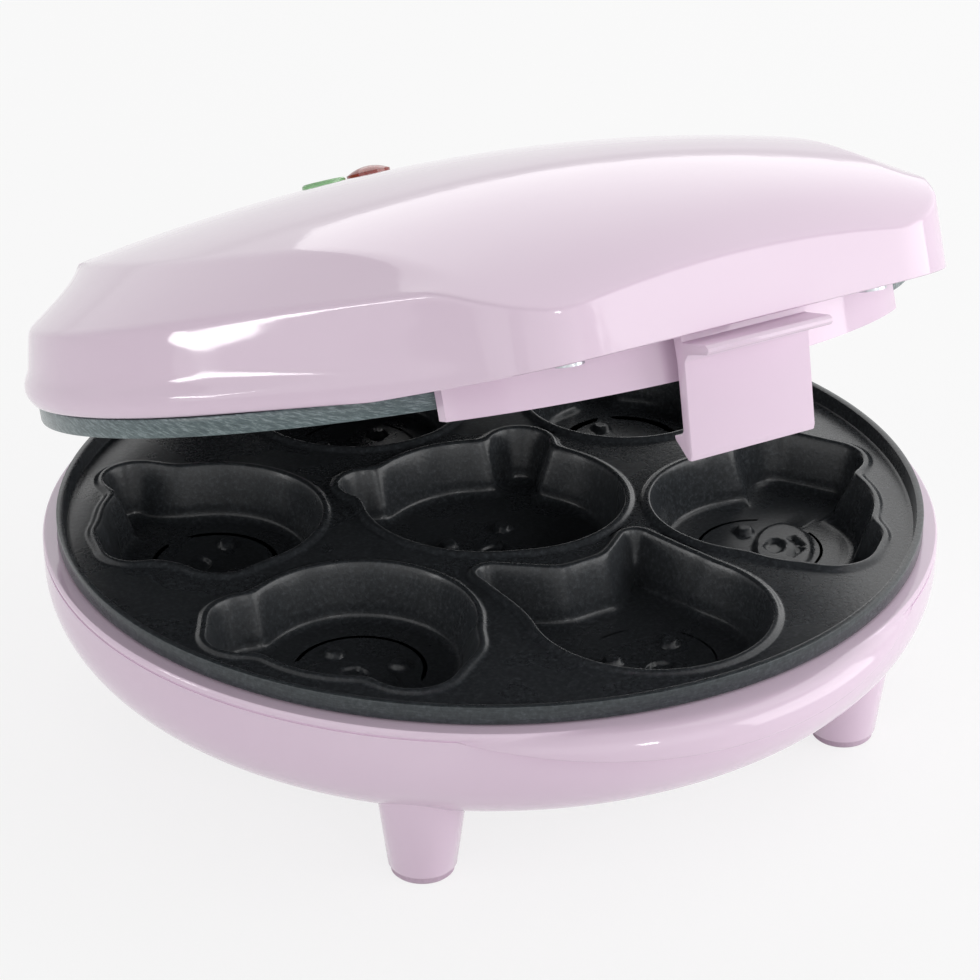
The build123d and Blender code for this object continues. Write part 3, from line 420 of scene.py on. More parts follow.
# %% Plan of the lid
CORNER_X, CORNER_Y, CORNER_RADIUS = 33.3, -86.0, 20.0
PLAN_COUNTS = (16, 26, 26, 110)
PLAN_KIND = np.append(np.repeat(range(4), PLAN_COUNTS), 3)
PLAN_SHARE = np.append(np.concatenate([np.arange(count) / count for count in PLAN_COUNTS]), 1.0)
BEAD_HEIGHTS, BEAD_RADII = (48.1, 50.2, 54.0), (91.0, 92.1, 90.9)
WALL_HEIGHTS, WALL_RADII = (54.0, 61.0, 65.0, 72.0, 90.0), (90.9, 89.5, 88.4, 86.5, 85.0)


def wall_radius(z):
    """Radius of the round wall: a parabola through three points of the bead, then straight slopes."""
    bead = np.polyval(np.polyfit(BEAD_HEIGHTS, BEAD_RADII, 2), z)
    return np.where(z < BEAD_HEIGHTS[-1], bead, np.interp(z, WALL_HEIGHTS, WALL_RADII))


def straight_side(radius, corner):
    """Lean of the straight side, and the points where it leaves the corner and meets the round."""
    reach = math.hypot(CORNER_X, CORNER_Y)
    lean = math.atan2(CORNER_Y, CORNER_X) + np.arccos(np.clip((radius - corner) / reach, -1, 1))
    near = CORNER_X + corner * np.cos(lean), CORNER_Y + corner * np.sin(lean)
    return lean, near, (radius * np.cos(lean), radius * np.sin(lean))


def half_plan(radius, inset):
    """Right half of the plan at one height, from the middle of the nose to the back."""
    corner, t = CORNER_RADIUS - inset, PLAN_SHARE
    lean, (near_x, near_y), (far_x, far_y) = straight_side(radius, corner)
    turn = -math.pi / 2 + (lean + math.pi / 2) * t
    sweep = lean + (math.pi / 2 - lean) * t
    kinds = [PLAN_KIND == kind for kind in range(3)]
    x = np.select(kinds, [CORNER_X * t, CORNER_X + corner * np.cos(turn), near_x + (far_x - near_x) * t],
                  radius * np.cos(sweep))
    y = np.select(kinds, [CORNER_Y - corner, CORNER_Y + corner * np.sin(turn),
                          near_y + (far_y - near_y) * t], radius * np.sin(sweep))
    return x, y


print("points along half of the plan:", len(PLAN_KIND))

# %% Crown and shoulder of the lid
NOSE_Y, CROWN_TURN_Y, CROWN_WIDEST_Y, CROWN_MIDDLE_Y = -106.0, -32.8, 4.4, -8.0
CREST_HEIGHT, CREST_SLOPE, CREST_ARCH = 81.06, 0.0365, 0.0009
NOSE_FALL, NOSE_CURL = 11.8, 4.2
CROWN_HALF, CROWN_TAPER, NOSE_HALF, NOSE_EVEN = 67.0, 0.0027, 49.7, 16.1
CROWN_BEND, CROWN_BEND_CHANGE = 0.00172, 0.000005
WALL_TOP_RADIUS, WALL_TOP_HEIGHT, WALL_TOP_SLOPE = 89.3, 63.5, 0.035
SHOULDER_LEAST_RUN, SHOULDER_LEAST_SLOPE = 3.0, 0.29
CREASE = 0.12


def crest_height(y):
    """Height of the crown along the middle: a shallow arch, then a fall that steepens to the nose."""
    behind = CREST_HEIGHT - CREST_SLOPE * y - CREST_ARCH * y * y
    fall = np.clip(CROWN_TURN_Y - y, 0, None) / (CROWN_TURN_Y - NOSE_Y)
    turn = CREST_HEIGHT - CREST_SLOPE * CROWN_TURN_Y - CREST_ARCH * CROWN_TURN_Y ** 2
    slope = -CREST_SLOPE - 2 * CREST_ARCH * CROWN_TURN_Y
    front = turn + slope * (y - CROWN_TURN_Y) - NOSE_FALL * fall ** 2.2 - NOSE_CURL * fall ** 12
    return np.where(y > CROWN_TURN_Y, behind, front)


def crown_half(y):
    """Half width of the crown: a parabola towards the back, running out to even width at the nose."""
    behind = CROWN_HALF - CROWN_TAPER * (y - CROWN_WIDEST_Y) ** 2
    share = np.clip((CROWN_WIDEST_Y - y) / (CROWN_WIDEST_Y - NOSE_Y - NOSE_EVEN), 0, 1)
    front = NOSE_HALF + (CROWN_HALF - NOSE_HALF) * np.cos(math.pi / 2 * share) ** 2
    return np.where(y > CROWN_WIDEST_Y, behind, front)


def wall_half(y):
    """Half width of the wall at its top edge: a round, a straight line and the round of the corner."""
    _, (near_x, near_y), (far_x, far_y) = straight_side(WALL_TOP_RADIUS, CORNER_RADIUS)
    round_part = np.sqrt(np.clip(WALL_TOP_RADIUS ** 2 - y * y, 1.0, None))
    straight = near_x + (far_x - near_x) * (y - near_y) / (far_y - near_y)
    corner = CORNER_X + np.sqrt(np.clip(CORNER_RADIUS ** 2 - (y - CORNER_Y) ** 2, 0.0, None))
    return np.where(y > far_y, round_part, np.where(y > near_y, straight, corner))


def roof_height(x, y):
    """Crown and sloping shoulder, joined by a soft lower-of-the-two."""
    half = crown_half(y)
    bend = CROWN_BEND - CROWN_BEND_CHANGE * y
    crown = crest_height(y) - bend * x * x
    edge = crest_height(y) - bend * half * half
    run = np.maximum(wall_half(y) - half, SHOULDER_LEAST_RUN)
    low = np.minimum(WALL_TOP_HEIGHT - WALL_TOP_SLOPE * y, edge - SHOULDER_LEAST_SLOPE * run)
    shoulder = edge - (edge - low) / run * (np.abs(x) - half)
    return -CREASE * np.logaddexp(-crown / CREASE, -shoulder / CREASE)


print("crown height in the middle:", round(float(roof_height(np.array(0.0), np.array(0.0))), 2), "mm")

# %% Lines over the lid
ROOF_ROWS, WALL_ROWS, EDGE_ROWS = 320, 56, 7
RIM_ROW = ROOF_ROWS + WALL_ROWS
NOSE_RIM_Y, NOSE_RIM_RISE = -72.0, 0.088


def lid_lines(inset):
    """Lines from the middle of the crown over the shoulder to the rim, for half of the plan."""
    # The wall ends where it meets the roof: a guessed height settles when it is looked up again
    height = np.full(len(PLAN_KIND), 64.0)
    for _ in range(30):
        x, y = half_plan(wall_radius(height) - inset, inset)
        height = roof_height(x, y) - inset
    rows = []
    for share in np.linspace(0.0, 1.0, ROOF_ROWS):
        px, py = x * share, (y - CROWN_MIDDLE_Y) * share + CROWN_MIDDLE_Y
        rows.append(np.stack((px, py, roof_height(px, py) - inset), 1))
    foot = LID_RIM + np.clip(NOSE_RIM_Y - y, 0, None) * NOSE_RIM_RISE
    for share in np.linspace(0.0, 1.0, WALL_ROWS + 1)[1:]:
        z = height + (foot - height) * share
        wx, wy = half_plan(wall_radius(z) - inset, inset)
        rows.append(np.stack((wx, wy, z), 1))
    return np.array(rows)


def whole_loop(rows):
    """Adds the mirrored left half to rows of the right half."""
    left = rows[:, -2:0:-1].copy()
    left[..., 0] *= -1
    return np.concatenate((rows, left), 1)


outer_lines, inner_lines = lid_lines(0.0), lid_lines(SHELL_WALL)[::-1]
rim_shares = np.linspace(0, 1, EDGE_ROWS + 2)[1:-1]
edge_lines = np.array([outer_lines[-1] * (1 - t) + inner_lines[0] * t for t in rim_shares])
lines = np.concatenate((outer_lines, edge_lines, inner_lines))
print("rows over the lid:", len(lines), "points in a row:", lines.shape[1])

# %% Round the creases of the lid
drift = np.full(len(lines), 0.5)
drift[:ROOF_ROWS - 8] = 0.06
drift[ROOF_ROWS - 8:ROOF_ROWS + 10] = 0.25
drift[ROOF_ROWS + 25:RIM_ROW] = np.linspace(0.5, 0.03, RIM_ROW - ROOF_ROWS - 25)
drift[RIM_ROW:RIM_ROW + 44] = 0.03
# The nose and its corners stay crisper than the round part of the lid
corner_end, straight_end = np.cumsum(PLAN_COUNTS)[1:3]
crisp = np.interp(np.arange(lines.shape[1]), (0, corner_end, straight_end), (0.22, 0.3, 1.0))
lines = soften(lines, drift[:, None] * crisp[None, :], 26)
# Flat stretches need few rows, creases and the rim need many
kept_rows = sorted({*range(0, 170, 9), *range(170, RIM_ROW, 2), *range(RIM_ROW, RIM_ROW + 8),
                    *range(RIM_ROW + 8, len(lines), 14), len(lines) - 1})
lid_shape = bmesh.new()
add_grid(lid_shape, open_lid(whole_loop(lines[kept_rows])), True, True)
print("rows kept:", len(kept_rows))

# %% [markdown]
# Two arms reach down from the back of the lid to the hinge pins, each with a round knuckle.
# They are plates with softened edges, turned with the lid.

# %% Hinge arms of the lid
ARM_OUTLINE = [(93.7, 42.1), (91.0, 48.6), (87.0, 50.1), (87.0, 62.0), (93.0, 57.5), (102.75, 42.0)]
ARM_SPANS, EAR_SPANS = ((12.0, 23.5), (-23.5, -12.0)), ((24.3, 34.0), (-34.0, -24.3))
KNUCKLE_RADIUS, HINGE_BORE = 4.6, 2.06
for low, high in ARM_SPANS:
    add_slab(lid_shape, ARM_OUTLINE, low, high, opened=True)
    knuckle = barrel(KNUCKLE_RADIUS, HINGE_BORE, low, high)
    add_turned(lid_shape, knuckle, (0, HINGE_Y, HINGE_Z), "X", opened=True)
lid_housing = finish_shape("lid_housing_shell", lid_shape, shell_plastic, 38.0)
place_on(lid_housing, "lid", "shell_plastic", "lid_housing")

# %% [markdown]
# ## Base housing
# The bowl is a turned form: a flat bottom, a quarter of an ellipse, a short wall and a bead under the
# plate. At the front a crescent lip stands proud of it, for the latch to hook under. The lip is the part
# of a second round, set forward, that is cut off below by a slanting plane. So each line up the bowl looks
# up how far out the lip reaches in its direction, and the greater of the two counts.

# %% Lines up the bowl
BOWL_RADIUS, BOWL_FLAT, BOWL_LOW, BOWL_CURVE_TOP = 93.0, 62.0, 11.0, 34.0
LIP_RADIUS, LIP_Y, LIP_ROUND = 75.0, -23.0, 4.5
LIP_CUT_Y, LIP_CUT_HEIGHT, LIP_CUT_SLOPE = -74.0, 38.5, 0.229
BEAD_HEIGHT, BEAD_DEPTH, LEDGE_HIDDEN = 1.9, 0.4, 4.0


def portions(count):
    """Even shares of a way, from just after its start to its end."""
    return np.linspace(0, 1, count)[1:]


def bowl_lines(columns):
    """Rows from the middle of the bottom up to the rim, over the ledge and back down inside."""
    turn = np.linspace(0, 2 * math.pi, columns, endpoint=False) + math.pi / 2
    forward = LIP_Y * np.sin(turn)
    lip = forward + np.sqrt(forward ** 2 - LIP_Y ** 2 + LIP_RADIUS ** 2)
    proud = lip > BOWL_RADIUS + 0.02

    def under(radius):
        return LIP_CUT_HEIGHT + (radius * np.sin(turn) - LIP_CUT_Y) * LIP_CUT_SLOPE

    def at(radius, height):
        return np.stack((radius * np.cos(turn), radius * np.sin(turn), height + 0 * turn), 1)

    def curve(angle, inset):
        radius = BOWL_FLAT + (BOWL_RADIUS - inset - BOWL_FLAT) * math.sin(angle)
        return at(radius, BOWL_CURVE_TOP - (BOWL_CURVE_TOP - BOWL_LOW - inset) * math.cos(angle))

    rows = [at(BOWL_FLAT * share, BOWL_LOW) for share in np.linspace(0, 1, 24)]
    rows += [curve(angle, 0.0) for angle in np.linspace(0, math.pi / 2, 90)[1:]]
    bead_low, bead_foot = BASE_RIM - BEAD_HEIGHT, BOWL_RADIUS - BEAD_DEPTH
    wall_top = np.where(proud, np.minimum(under(BOWL_RADIUS), bead_low), bead_low)
    rows += [at(BOWL_RADIUS, BOWL_CURVE_TOP + (wall_top - BOWL_CURVE_TOP) * t) for t in portions(16)]
    edge = np.where(proud, np.minimum(under(lip), wall_top), wall_top)
    shelf = np.where(proud, lip, bead_foot)
    rows += [at(BOWL_RADIUS + (shelf - BOWL_RADIUS) * t, wall_top + (edge - wall_top) * t)
             for t in portions(24)]
    for share in portions(44):
        z = edge + (BASE_RIM - edge) * math.sin(share * math.pi / 2)
        bead = bead_foot + BEAD_DEPTH * (1 - ((z - BASE_RIM) * 2 / BEAD_HEIGHT + 1) ** 2)
        bead = np.where(z > bead_low, bead, 0.0)
        rise = np.clip(z - (BASE_RIM - LIP_ROUND), 0, LIP_ROUND)
        front = lip - LIP_ROUND + np.sqrt(np.clip(LIP_ROUND ** 2 - rise ** 2, 0, None))
        rows.append(at(np.maximum(np.where(proud, front, 0.0), bead), z))
    outer, ledge = rows[-1], at(LEDGE_RADIUS, BASE_RIM)
    rows += [outer * (1 - t) + ledge * t for t in portions(20)]
    rows += [at(LEDGE_RADIUS, BASE_RIM - SHELL_WALL * t) for t in portions(8)]
    rows += [at(LEDGE_RADIUS + LEDGE_HIDDEN * t, BASE_RIM - SHELL_WALL) for t in portions(8)]
    rows += [curve(angle, SHELL_WALL) for angle in np.linspace(math.pi / 2, 0, 30)]
    rows += [at(BOWL_FLAT * (1 - t), BOWL_LOW + SHELL_WALL) for t in portions(8)]
    return np.array(rows)


lines = bowl_lines(420)
print("rows of the bowl:", len(lines))

# %% Round the edges of the bowl
CURVE_ROW, WALL_ROW, LIP_ROW, LEDGE_ROW, INSIDE_ROW = 24, 112, 128, 195, 215
drift = np.full(len(lines), 0.45)
drift[LEDGE_ROW:INSIDE_ROW] = 0.04
drift[INSIDE_ROW:] = 0.0
lines = soften(lines, drift, 16)
kept_rows = [*range(0, CURVE_ROW, 4), *range(CURVE_ROW, WALL_ROW, 3), *range(WALL_ROW, LIP_ROW, 3),
             *range(LIP_ROW, len(lines))]
base_shape = bmesh.new()
add_grid(base_shape, lines[kept_rows], True, True)
print("rows kept:", len(kept_rows))

# %% Hinge ears and cord socket of the base
EAR_OUTLINE = [(86.5, 25.5), (86.5, 38.5), (HINGE_Y - 3.3, HINGE_Z + 3.2), (HINGE_Y + 3.3, HINGE_Z - 3.2)]
SOCKET_OUTLINE = [(4.46, 76.0), (7.4, 76.0), (7.4, 91.6), (7.0, 92.0), (4.46, 92.0), (4.46, 76.0)]
SOCKET_HEIGHT = 20.5
for low, high in EAR_SPANS:
    add_slab(base_shape, EAR_OUTLINE, low, high)
    add_turned(base_shape, barrel(KNUCKLE_RADIUS, HINGE_BORE, low, high), (0, HINGE_Y, HINGE_Z), "X")
add_turned(base_shape, SOCKET_OUTLINE, (0, 0, SOCKET_HEIGHT), "Y")
base_housing = finish_shape("base_housing_bowl", base_shape, shell_plastic, 30.0)

# %% [markdown]
# ## Feet
# Four feet stand under the bowl, each a cone that widens upwards into it, with a slightly rounded tip.
# They are the same thing four times, so a Geometry Nodes tree draws one foot from its sizes and sets it
# on the corners of a rectangle. The result is made a plain mesh and joined to the bowl.

# %% Geometry Nodes helpers
def new_tree(name, inputs):
    """An empty geometry tree with named number inputs, its input and output nodes."""
    tree = bpy.data.node_groups.new(name, "GeometryNodeTree")
    tree.interface.new_socket("Geometry", in_out="INPUT", socket_type="NodeSocketGeometry")
    for label, value in inputs.items():
        socket = tree.interface.new_socket(label, in_out="INPUT", socket_type="NodeSocketFloat")
        socket.default_value = value
    tree.interface.new_socket("Geometry", in_out="OUTPUT", socket_type="NodeSocketGeometry")
    return tree, tree.nodes.new("NodeGroupInput"), tree.nodes.new("NodeGroupOutput")


def close_tree(tree, output, source, finish):
    """Ends a tree in Realize Instances and Set Material."""
    real = add_node(tree, "GeometryNodeRealizeInstances", {}, {"Geometry": source})
    dressed = add_node(tree, "GeometryNodeSetMaterial", {"Material": finish}, {"Geometry": real})
    connect(tree, output, {"Geometry": dressed})


def run_tree(name, tree, points, values):
    """Runs a tree over a mesh of points and returns the result as a plain mesh."""
    seed = bpy.data.meshes.new(name + "_places")
    seed.from_pydata([tuple(Vector(p) * METRES) for p in points], [], [])
    carrier = put_in_scene(name + "_places", seed)
    modifier = carrier.modifiers.new("form", "NODES")
    modifier.node_group = tree
    for item in tree.interface.items_tree:
        if item.in_out == "INPUT" and item.name in values:
            modifier[item.identifier] = values[item.name]
    bpy.context.view_layer.update()
    ready = carrier.evaluated_get(bpy.context.evaluated_depsgraph_get())
    mesh = bpy.data.meshes.new_from_object(ready)
    carrier.modifiers.remove(modifier)
    bpy.data.objects.remove(carrier)
    mesh.name = name
    return mesh


print("geometry tree helpers ready")

# %% A turned form as a tree
def turned_stack_tree(name, levels, sides, finish):
    """A tree that stacks cones from each named radius and height to the next, on every point."""
    inputs = {}
    for number, (radius, height) in enumerate(levels):
        inputs["Radius %d" % number] = radius * METRES
        inputs["Height %d" % number] = height * METRES
    tree, given, output = new_tree(name, inputs)
    stack = []
    for number in range(len(levels) - 1):
        radius_low, radius_high = (given.outputs["Radius %d" % n] for n in (number, number + 1))
        low, high = (given.outputs["Height %d" % n] for n in (number, number + 1))
        depth = add_node(tree, "ShaderNodeMath", {"operation": "SUBTRACT"}, {0: high, 1: low})
        cone = add_node(tree, "GeometryNodeMeshCone", {"Vertices": sides, "fill_type": "NONE"},
                        {"Radius Bottom": radius_low, "Radius Top": radius_high, "Depth": depth})
        lift = add_node(tree, "ShaderNodeCombineXYZ", {}, {"Z": low})
        stack.append(add_node(tree, "GeometryNodeTransform", {}, {"Geometry": cone, "Translation": lift}))
    joined = add_node(tree, "GeometryNodeJoinGeometry")
    for part in stack:
        connect(tree, joined, {"Geometry": part})
    merged = add_node(tree, "GeometryNodeMergeByDistance", {"Distance": 0.000005}, {"Geometry": joined})
    spots = add_node(tree, "GeometryNodeMeshToPoints", {}, {"Mesh": given})
    set_out = add_node(tree, "GeometryNodeInstanceOnPoints", {}, {"Points": spots, "Instance": merged})
    close_tree(tree, output, set_out, finish)
    return tree


FOOT_X, FOOT_Y, FOOT_TIP = 50.1, 58.8, 6.8
FOOT_PLACES = [(sx * FOOT_X, sy * FOOT_Y - FOOTPRINT_MIDDLE, 0.0) for sx in (-1, 1) for sy in (-1, 1)]
FOOT_LEVELS = [(0.01, 1.5), (6.1, 1.5), (6.55, 1.62), (FOOT_TIP, 2.0), (9.4, 22.0), (0.01, 22.0)]
foot_tree = turned_stack_tree("feet_of_the_bowl", FOOT_LEVELS, 72, shell_plastic)
feet = run_tree("feet", foot_tree, FOOT_PLACES, {"Radius 3": FOOT_TIP * METRES})
print("faces of the feet:", len(feet.polygons))

# %% Join the feet to the bowl
joined = bmesh.new()
joined.from_mesh(base_housing.data)
joined.from_mesh(feet)
joined.to_mesh(base_housing.data)
joined.free()
shade(base_housing.data, 30.0)
place_on(base_housing, "base", "shell_plastic", "base_housing")
print("faces of bowl and feet:", len(base_housing.data.polygons))

# %% [markdown]
# ## Plates with their seven figures
# Each plate is a flat disc with a low rim, and seven moulds shaped like animal heads.
# A mould's outline is a union of rounds that run into each other: a head and its ears. A raised bead
# follows it, the wall slopes in so that what is baked lets go, and the floor carries eyes, nose and mouth.
# All of this depends only on how far a point lies from the outline. So rings of points are found at
# set distances, each by halving the search along rays from the head's middle, and joined ring to ring.
# The flat between the figures is filled with triangles by a constrained triangulation.
# The outlines are written in hundredths of the plate's radius: x, y and radius of both ends of each lobe.
# A plain round has one end. Before the lobes stand the direction in which the face looks, in degrees,
# and half the width of its snout pad in millimetres, or 0 for a face with no pad.

# %% Figures: heads and ears
FIGURE_SHARES = (
    (95.0, 0.0, ((0.7, 3.6, 28.2, 5.1, 0.9, 27.3), (-19.4, 22.8, 6.9, -11.1, 13.3, 8.9),
                 (22.8, 24.4, 6.9, 14.4, 15.0, 8.9))),
    (93.0, 0.0, ((3.9, -63.0, 26.2), (-17.3, -30.2, 3.3, -7.8, -48.9, 12.2),
                 (19.8, -31.8, 2.9, 14.2, -48.3, 12.2))),
    (40.0, 10.0, ((-52.9, -33.3, 25.4), (-77.6, -27.1, 8.3, -72.8, -20.6, 9.1),
                  (-53.3, -58.0, 9.4, -46.1, -50.6, 11.1))),
    (-20.0, 0.0, ((-57.8, 27.8, 25.0), (-65.0, 53.3, 7.6, -61.1, 46.7, 8.9),
                  (-80.2, 21.8, 7.0, -77.8, 28.9, 7.8), (-65.8, 7.6, 7.9, -55.6, 15.6, 13.1))),
    (144.0, 11.0, ((55.0, -31.1, 25.7), (55.6, -57.8, 9.1, 60.4, -54.0, 9.6),
                   (55.6, -57.8, 9.1, 51.7, -49.4, 12.9), (80.0, -20.9, 9.1, 73.3, -11.1, 9.8))),
    (90.0, 0.0, ((0.0, 64.4, 25.8), (-19.8, 82.2, 6.9, -13.3, 77.8, 8.9),
                 (19.8, 82.2, 6.9, 13.3, 77.8, 8.9))),
    (30.0, 8.5, ((58.1, 33.7, 23.8), (64.0, 56.0, 6.7, 61.7, 47.8, 8.9),
                 (80.7, 27.1, 6.7, 72.2, 29.4, 8.9))),
)
FIGURES = [
    (look, pad, [tuple(share * PLATE_RADIUS / 100 for share in lobe * (6 // len(lobe))) for lobe in lobes])
    for look, pad, lobes in FIGURE_SHARES]
CAVITY_FLOOR = PLATE_FLOOR - 11.0


def lobe_distance(points, lobe, grow):
    """Distance outside a lobe that runs from one round to another, both grown alike."""
    x1, y1, r1, x2, y2, r2 = lobe
    r1, r2 = max(r1 + grow, 0.5), max(r2 + grow, 0.5)
    off = points - np.array((x1, y1))
    reach = math.hypot(x2 - x1, y2 - y1)
    if reach == 0:
        return np.hypot(off[..., 0], off[..., 1]) - r1
    ux, uy = (x2 - x1) / reach, (y2 - y1) / reach
    along = off[..., 0] * ux + off[..., 1] * uy
    across = np.abs(off[..., 0] * uy - off[..., 1] * ux)
    lean = (r1 - r2) / reach
    rest = math.sqrt(1 - lean * lean)
    part = across * -lean + along * rest
    near = np.hypot(across, along) - r1
    far = np.hypot(across, along - reach) - r2
    side = across * rest + along * lean - r1
    return np.where(part < 0, near, np.where(part > rest * reach, far, side))


def figure_distance(points, lobes, grow):
    """Distance to the union of the lobes, with the notches rounded over about a millimetre."""
    total = 0.0
    for lobe in lobes:
        total = total + np.exp(-np.clip(lobe_distance(points, lobe, grow), -60, 60))
    return -np.log(total)


def outline_ring(lobes, centre, directions, grow):
    """Points on the grown outline, one in each direction from the centre, found by halving."""
    low, high = np.zeros(len(directions)), np.full(len(directions), 60.0)
    for _ in range(36):
        middle = (low + high) / 2
        inside = figure_distance(centre + directions * middle[:, None], lobes, grow) < 0
        low, high = np.where(inside, middle, low), np.where(inside, high, middle)
    return centre + directions * low[:, None]


def even_directions(lobes, centre, count):
    """Directions that split the bead's outline into equal lengths, so ears get their share of points."""
    turn = np.linspace(0, 2 * math.pi, 1441)
    rough = np.stack((np.cos(turn), np.sin(turn)), 1)
    ring = outline_ring(lobes, centre, rough, 0.0)
    walked = np.concatenate(([0], np.cumsum(np.hypot(*np.diff(ring, axis=0).T))))
    chosen = np.interp(np.linspace(0, walked[-1], count + 1)[:-1], walked, turn)
    return np.stack((np.cos(chosen), np.sin(chosen)), 1)


def middle_of_head(lobes):
    x1, y1, _, x2, y2, _ = lobes[0]
    return np.array(((x1 + x2) / 2, (y1 + y2) / 2))


print("figures on each plate:", len(FIGURES))

# %% Faces on the floors
PAD_V, PAD_HALF_HEIGHT, PAD_RISE = -5.0, 6.0, 0.8
EYE_U, EYE_V, EYE_RADIUS, EYE_RISE = 7.0, 3.5, 1.9, 1.2
MOUTH_U, MOUTH_V, MOUTH_LEAN, MOUTH_DEPTH = 2.4, -7.6, 30.0, 0.7
NOSE_V, NOSE_DEPTH = -3.0, 0.8


def step(distance, soft):
    """1 inside, 0 outside, with a soft edge."""
    share = np.clip(0.5 - distance / soft, 0, 1)
    return share * share * (3 - 2 * share)


def face_relief(points, figure):
    """Raised eyes and snout pad, a hollow for the nose and two grooves for the mouth."""
    look, pad, lobes = figure
    x, y = (points - np.array(lobes[0][:2])).T
    turn = math.radians(90.0 - look)
    u, v = x * math.cos(turn) - y * math.sin(turn), x * math.sin(turn) + y * math.cos(turn)
    height = np.zeros(len(points))
    if pad > 0:
        height += PAD_RISE * step((np.hypot(u / pad, (v - PAD_V) / PAD_HALF_HEIGHT) - 1) * 6.0, 1.0)
    for side in (-1, 1):
        eye = np.hypot(u - side * EYE_U, v - EYE_V) - EYE_RADIUS
        height = np.maximum(height, EYE_RISE * step(eye, 1.0))
        lean, mx, my = math.radians(side * MOUTH_LEAN), u - side * MOUTH_U, v - MOUTH_V
        across, along = mx * math.cos(lean) + my * math.sin(lean), my * math.cos(lean) - mx * math.sin(lean)
        height -= MOUTH_DEPTH * step(np.maximum(np.abs(across) - 2.2, np.abs(along) - 0.55), 0.8)
    height -= NOSE_DEPTH * step((np.hypot(u / 2.8, (v - NOSE_V) / 2.0) - 1) * 2.4, 0.9)
    return height


print("height of an eye:", EYE_RISE, "mm")

# %% Rings of one mould, and the triangles of the flat
BEAD_REACH = 2.9
BEAD = ((BEAD_REACH, 0.0), (2.5, 0.0), (2.25, 0.06), (1.95, 0.24), (1.6, 0.52), (1.35, 0.69), (1.1, 0.76),
        (0.7, 0.77), (0.45, 0.73), (0.28, 0.6), (0.14, 0.35))
WALL = tuple((-2.6 + (z - CAVITY_FLOOR - 2.0) * 0.285, z - PLATE_FLOOR)
             for z in (40.2, 38.6, 36.8, 35.0, 33.4, 32.2))
FLOOR_ROUND = tuple((-2.45 - 2.15 * (1 - math.cos(a)), CAVITY_FLOOR + 2.0 - 2.0 * math.sin(a) - PLATE_FLOOR)
                    for a in (0.35, 0.75, 1.15, 1.5708))
FLOOR_REACH, FACE_RADIUS = 21.0, 14.0
FLOOR_RINGS = (19.5, 17.6, 15.8, 14.3, *np.arange(13.3, 0.3, -0.6), 0.0)


def mould_rows(figure, count):
    """Rows of points from the flat over the bead, down the wall and over the floor to the middle."""
    lobes = figure[2]
    centre = middle_of_head(lobes)
    directions = even_directions(lobes, centre, count)
    rows = []
    for grow, height in BEAD + WALL + FLOOR_ROUND:
        ring = outline_ring(lobes, centre, directions, grow)
        rows.append(np.column_stack((ring, np.full(count, PLATE_FLOOR + height))))
    last = rows[-1][:, :2]
    reach = np.hypot(*(last - centre).T)
    for radius in FLOOR_RINGS:
        share = np.full(count, radius / FLOOR_REACH) if radius > FACE_RADIUS else radius / reach
        ring = centre + (last - centre) * share[:, None]
        rows.append(np.column_stack((ring, CAVITY_FLOOR + face_relief(ring, figure))))
    return rows


def in_a_figure(points):
    """True for points within the outer edge of the bead of any figure."""
    nearest = np.min([figure_distance(points, figure[2], BEAD_REACH) for figure in FIGURES], axis=0)
    return nearest < -0.001


def fill_flat(outer, holes, height):
    """Triangles between an outer ring and the rings of the figures."""
    rings = [outer] + holes
    points = [Vector(p[:2]) for ring in rings for p in ring]
    edges, start = [], 0
    for ring in rings:
        edges += [(start + i, start + (i + 1) % len(ring)) for i in range(len(ring))]
        start += len(ring)
    found, _, triangles = delaunay_2d_cdt(points, edges, [], 0, 0.00001)[:3]
    flat = np.array([(p.x, p.y) for p in found])
    middles = flat[np.array(triangles)].mean(1)
    wanted = ~in_a_figure(middles) & (np.hypot(*middles.T) < math.hypot(*outer[0][:2]))
    return np.column_stack((flat, np.full(len(flat), height))), np.array(triangles)[wanted]


def add_faces(shape, points, triangles):
    made = [shape.verts.new(Vector(p) * METRES) for p in points]
    for triangle in triangles:
        shape.faces.new([made[i] for i in triangle])


print("rings of one mould:", len(mould_rows(FIGURES[1], 60)))

# %% One plate from its rings
PLATE_RIM = ((87.2, 40.7), (87.75, 40.7), (87.98, 40.8), (88.1, 41.15), (88.42, 43.5), (88.55, 43.85),
             (88.85, 43.97), (89.65, 43.97), (89.9, 43.9), (90.0, 43.65), (90.0, 42.6), (90.0, 41.4),
             (90.0, 40.55), (89.85, 40.3), (86.45, 40.3), (86.3, 40.15), (86.3, 37.9), (86.1, 37.7))
CUP = ((BEAD_REACH, 37.7), (2.2, 37.6), (-0.4, 29.5), (-2.4, 27.5))
RIM_POINTS, FIGURE_POINTS, CUP_POINTS = 360, 236, 120
WEAR_RADIUS, WEAR_WIDTH, LOWER_WEAR, UPPER_WEAR = 89.3, 0.5, 0.12, 1.0


def round_ring(radius, height):
    turn = np.linspace(0, 2 * math.pi, RIM_POINTS, endpoint=False)
    return np.stack((radius * np.cos(turn), radius * np.sin(turn), np.full(RIM_POINTS, height)), 1)


def cup_rows(lobes):
    """Rows round the underside of a mould, down to the middle of its bottom."""
    centre = middle_of_head(lobes)
    directions = even_directions(lobes, centre, CUP_POINTS)
    rows = [np.column_stack((outline_ring(lobes, centre, directions, grow), np.full(CUP_POINTS, z)))
            for grow, z in CUP]
    return rows + [np.array([[*centre, CUP[-1][1]]])]


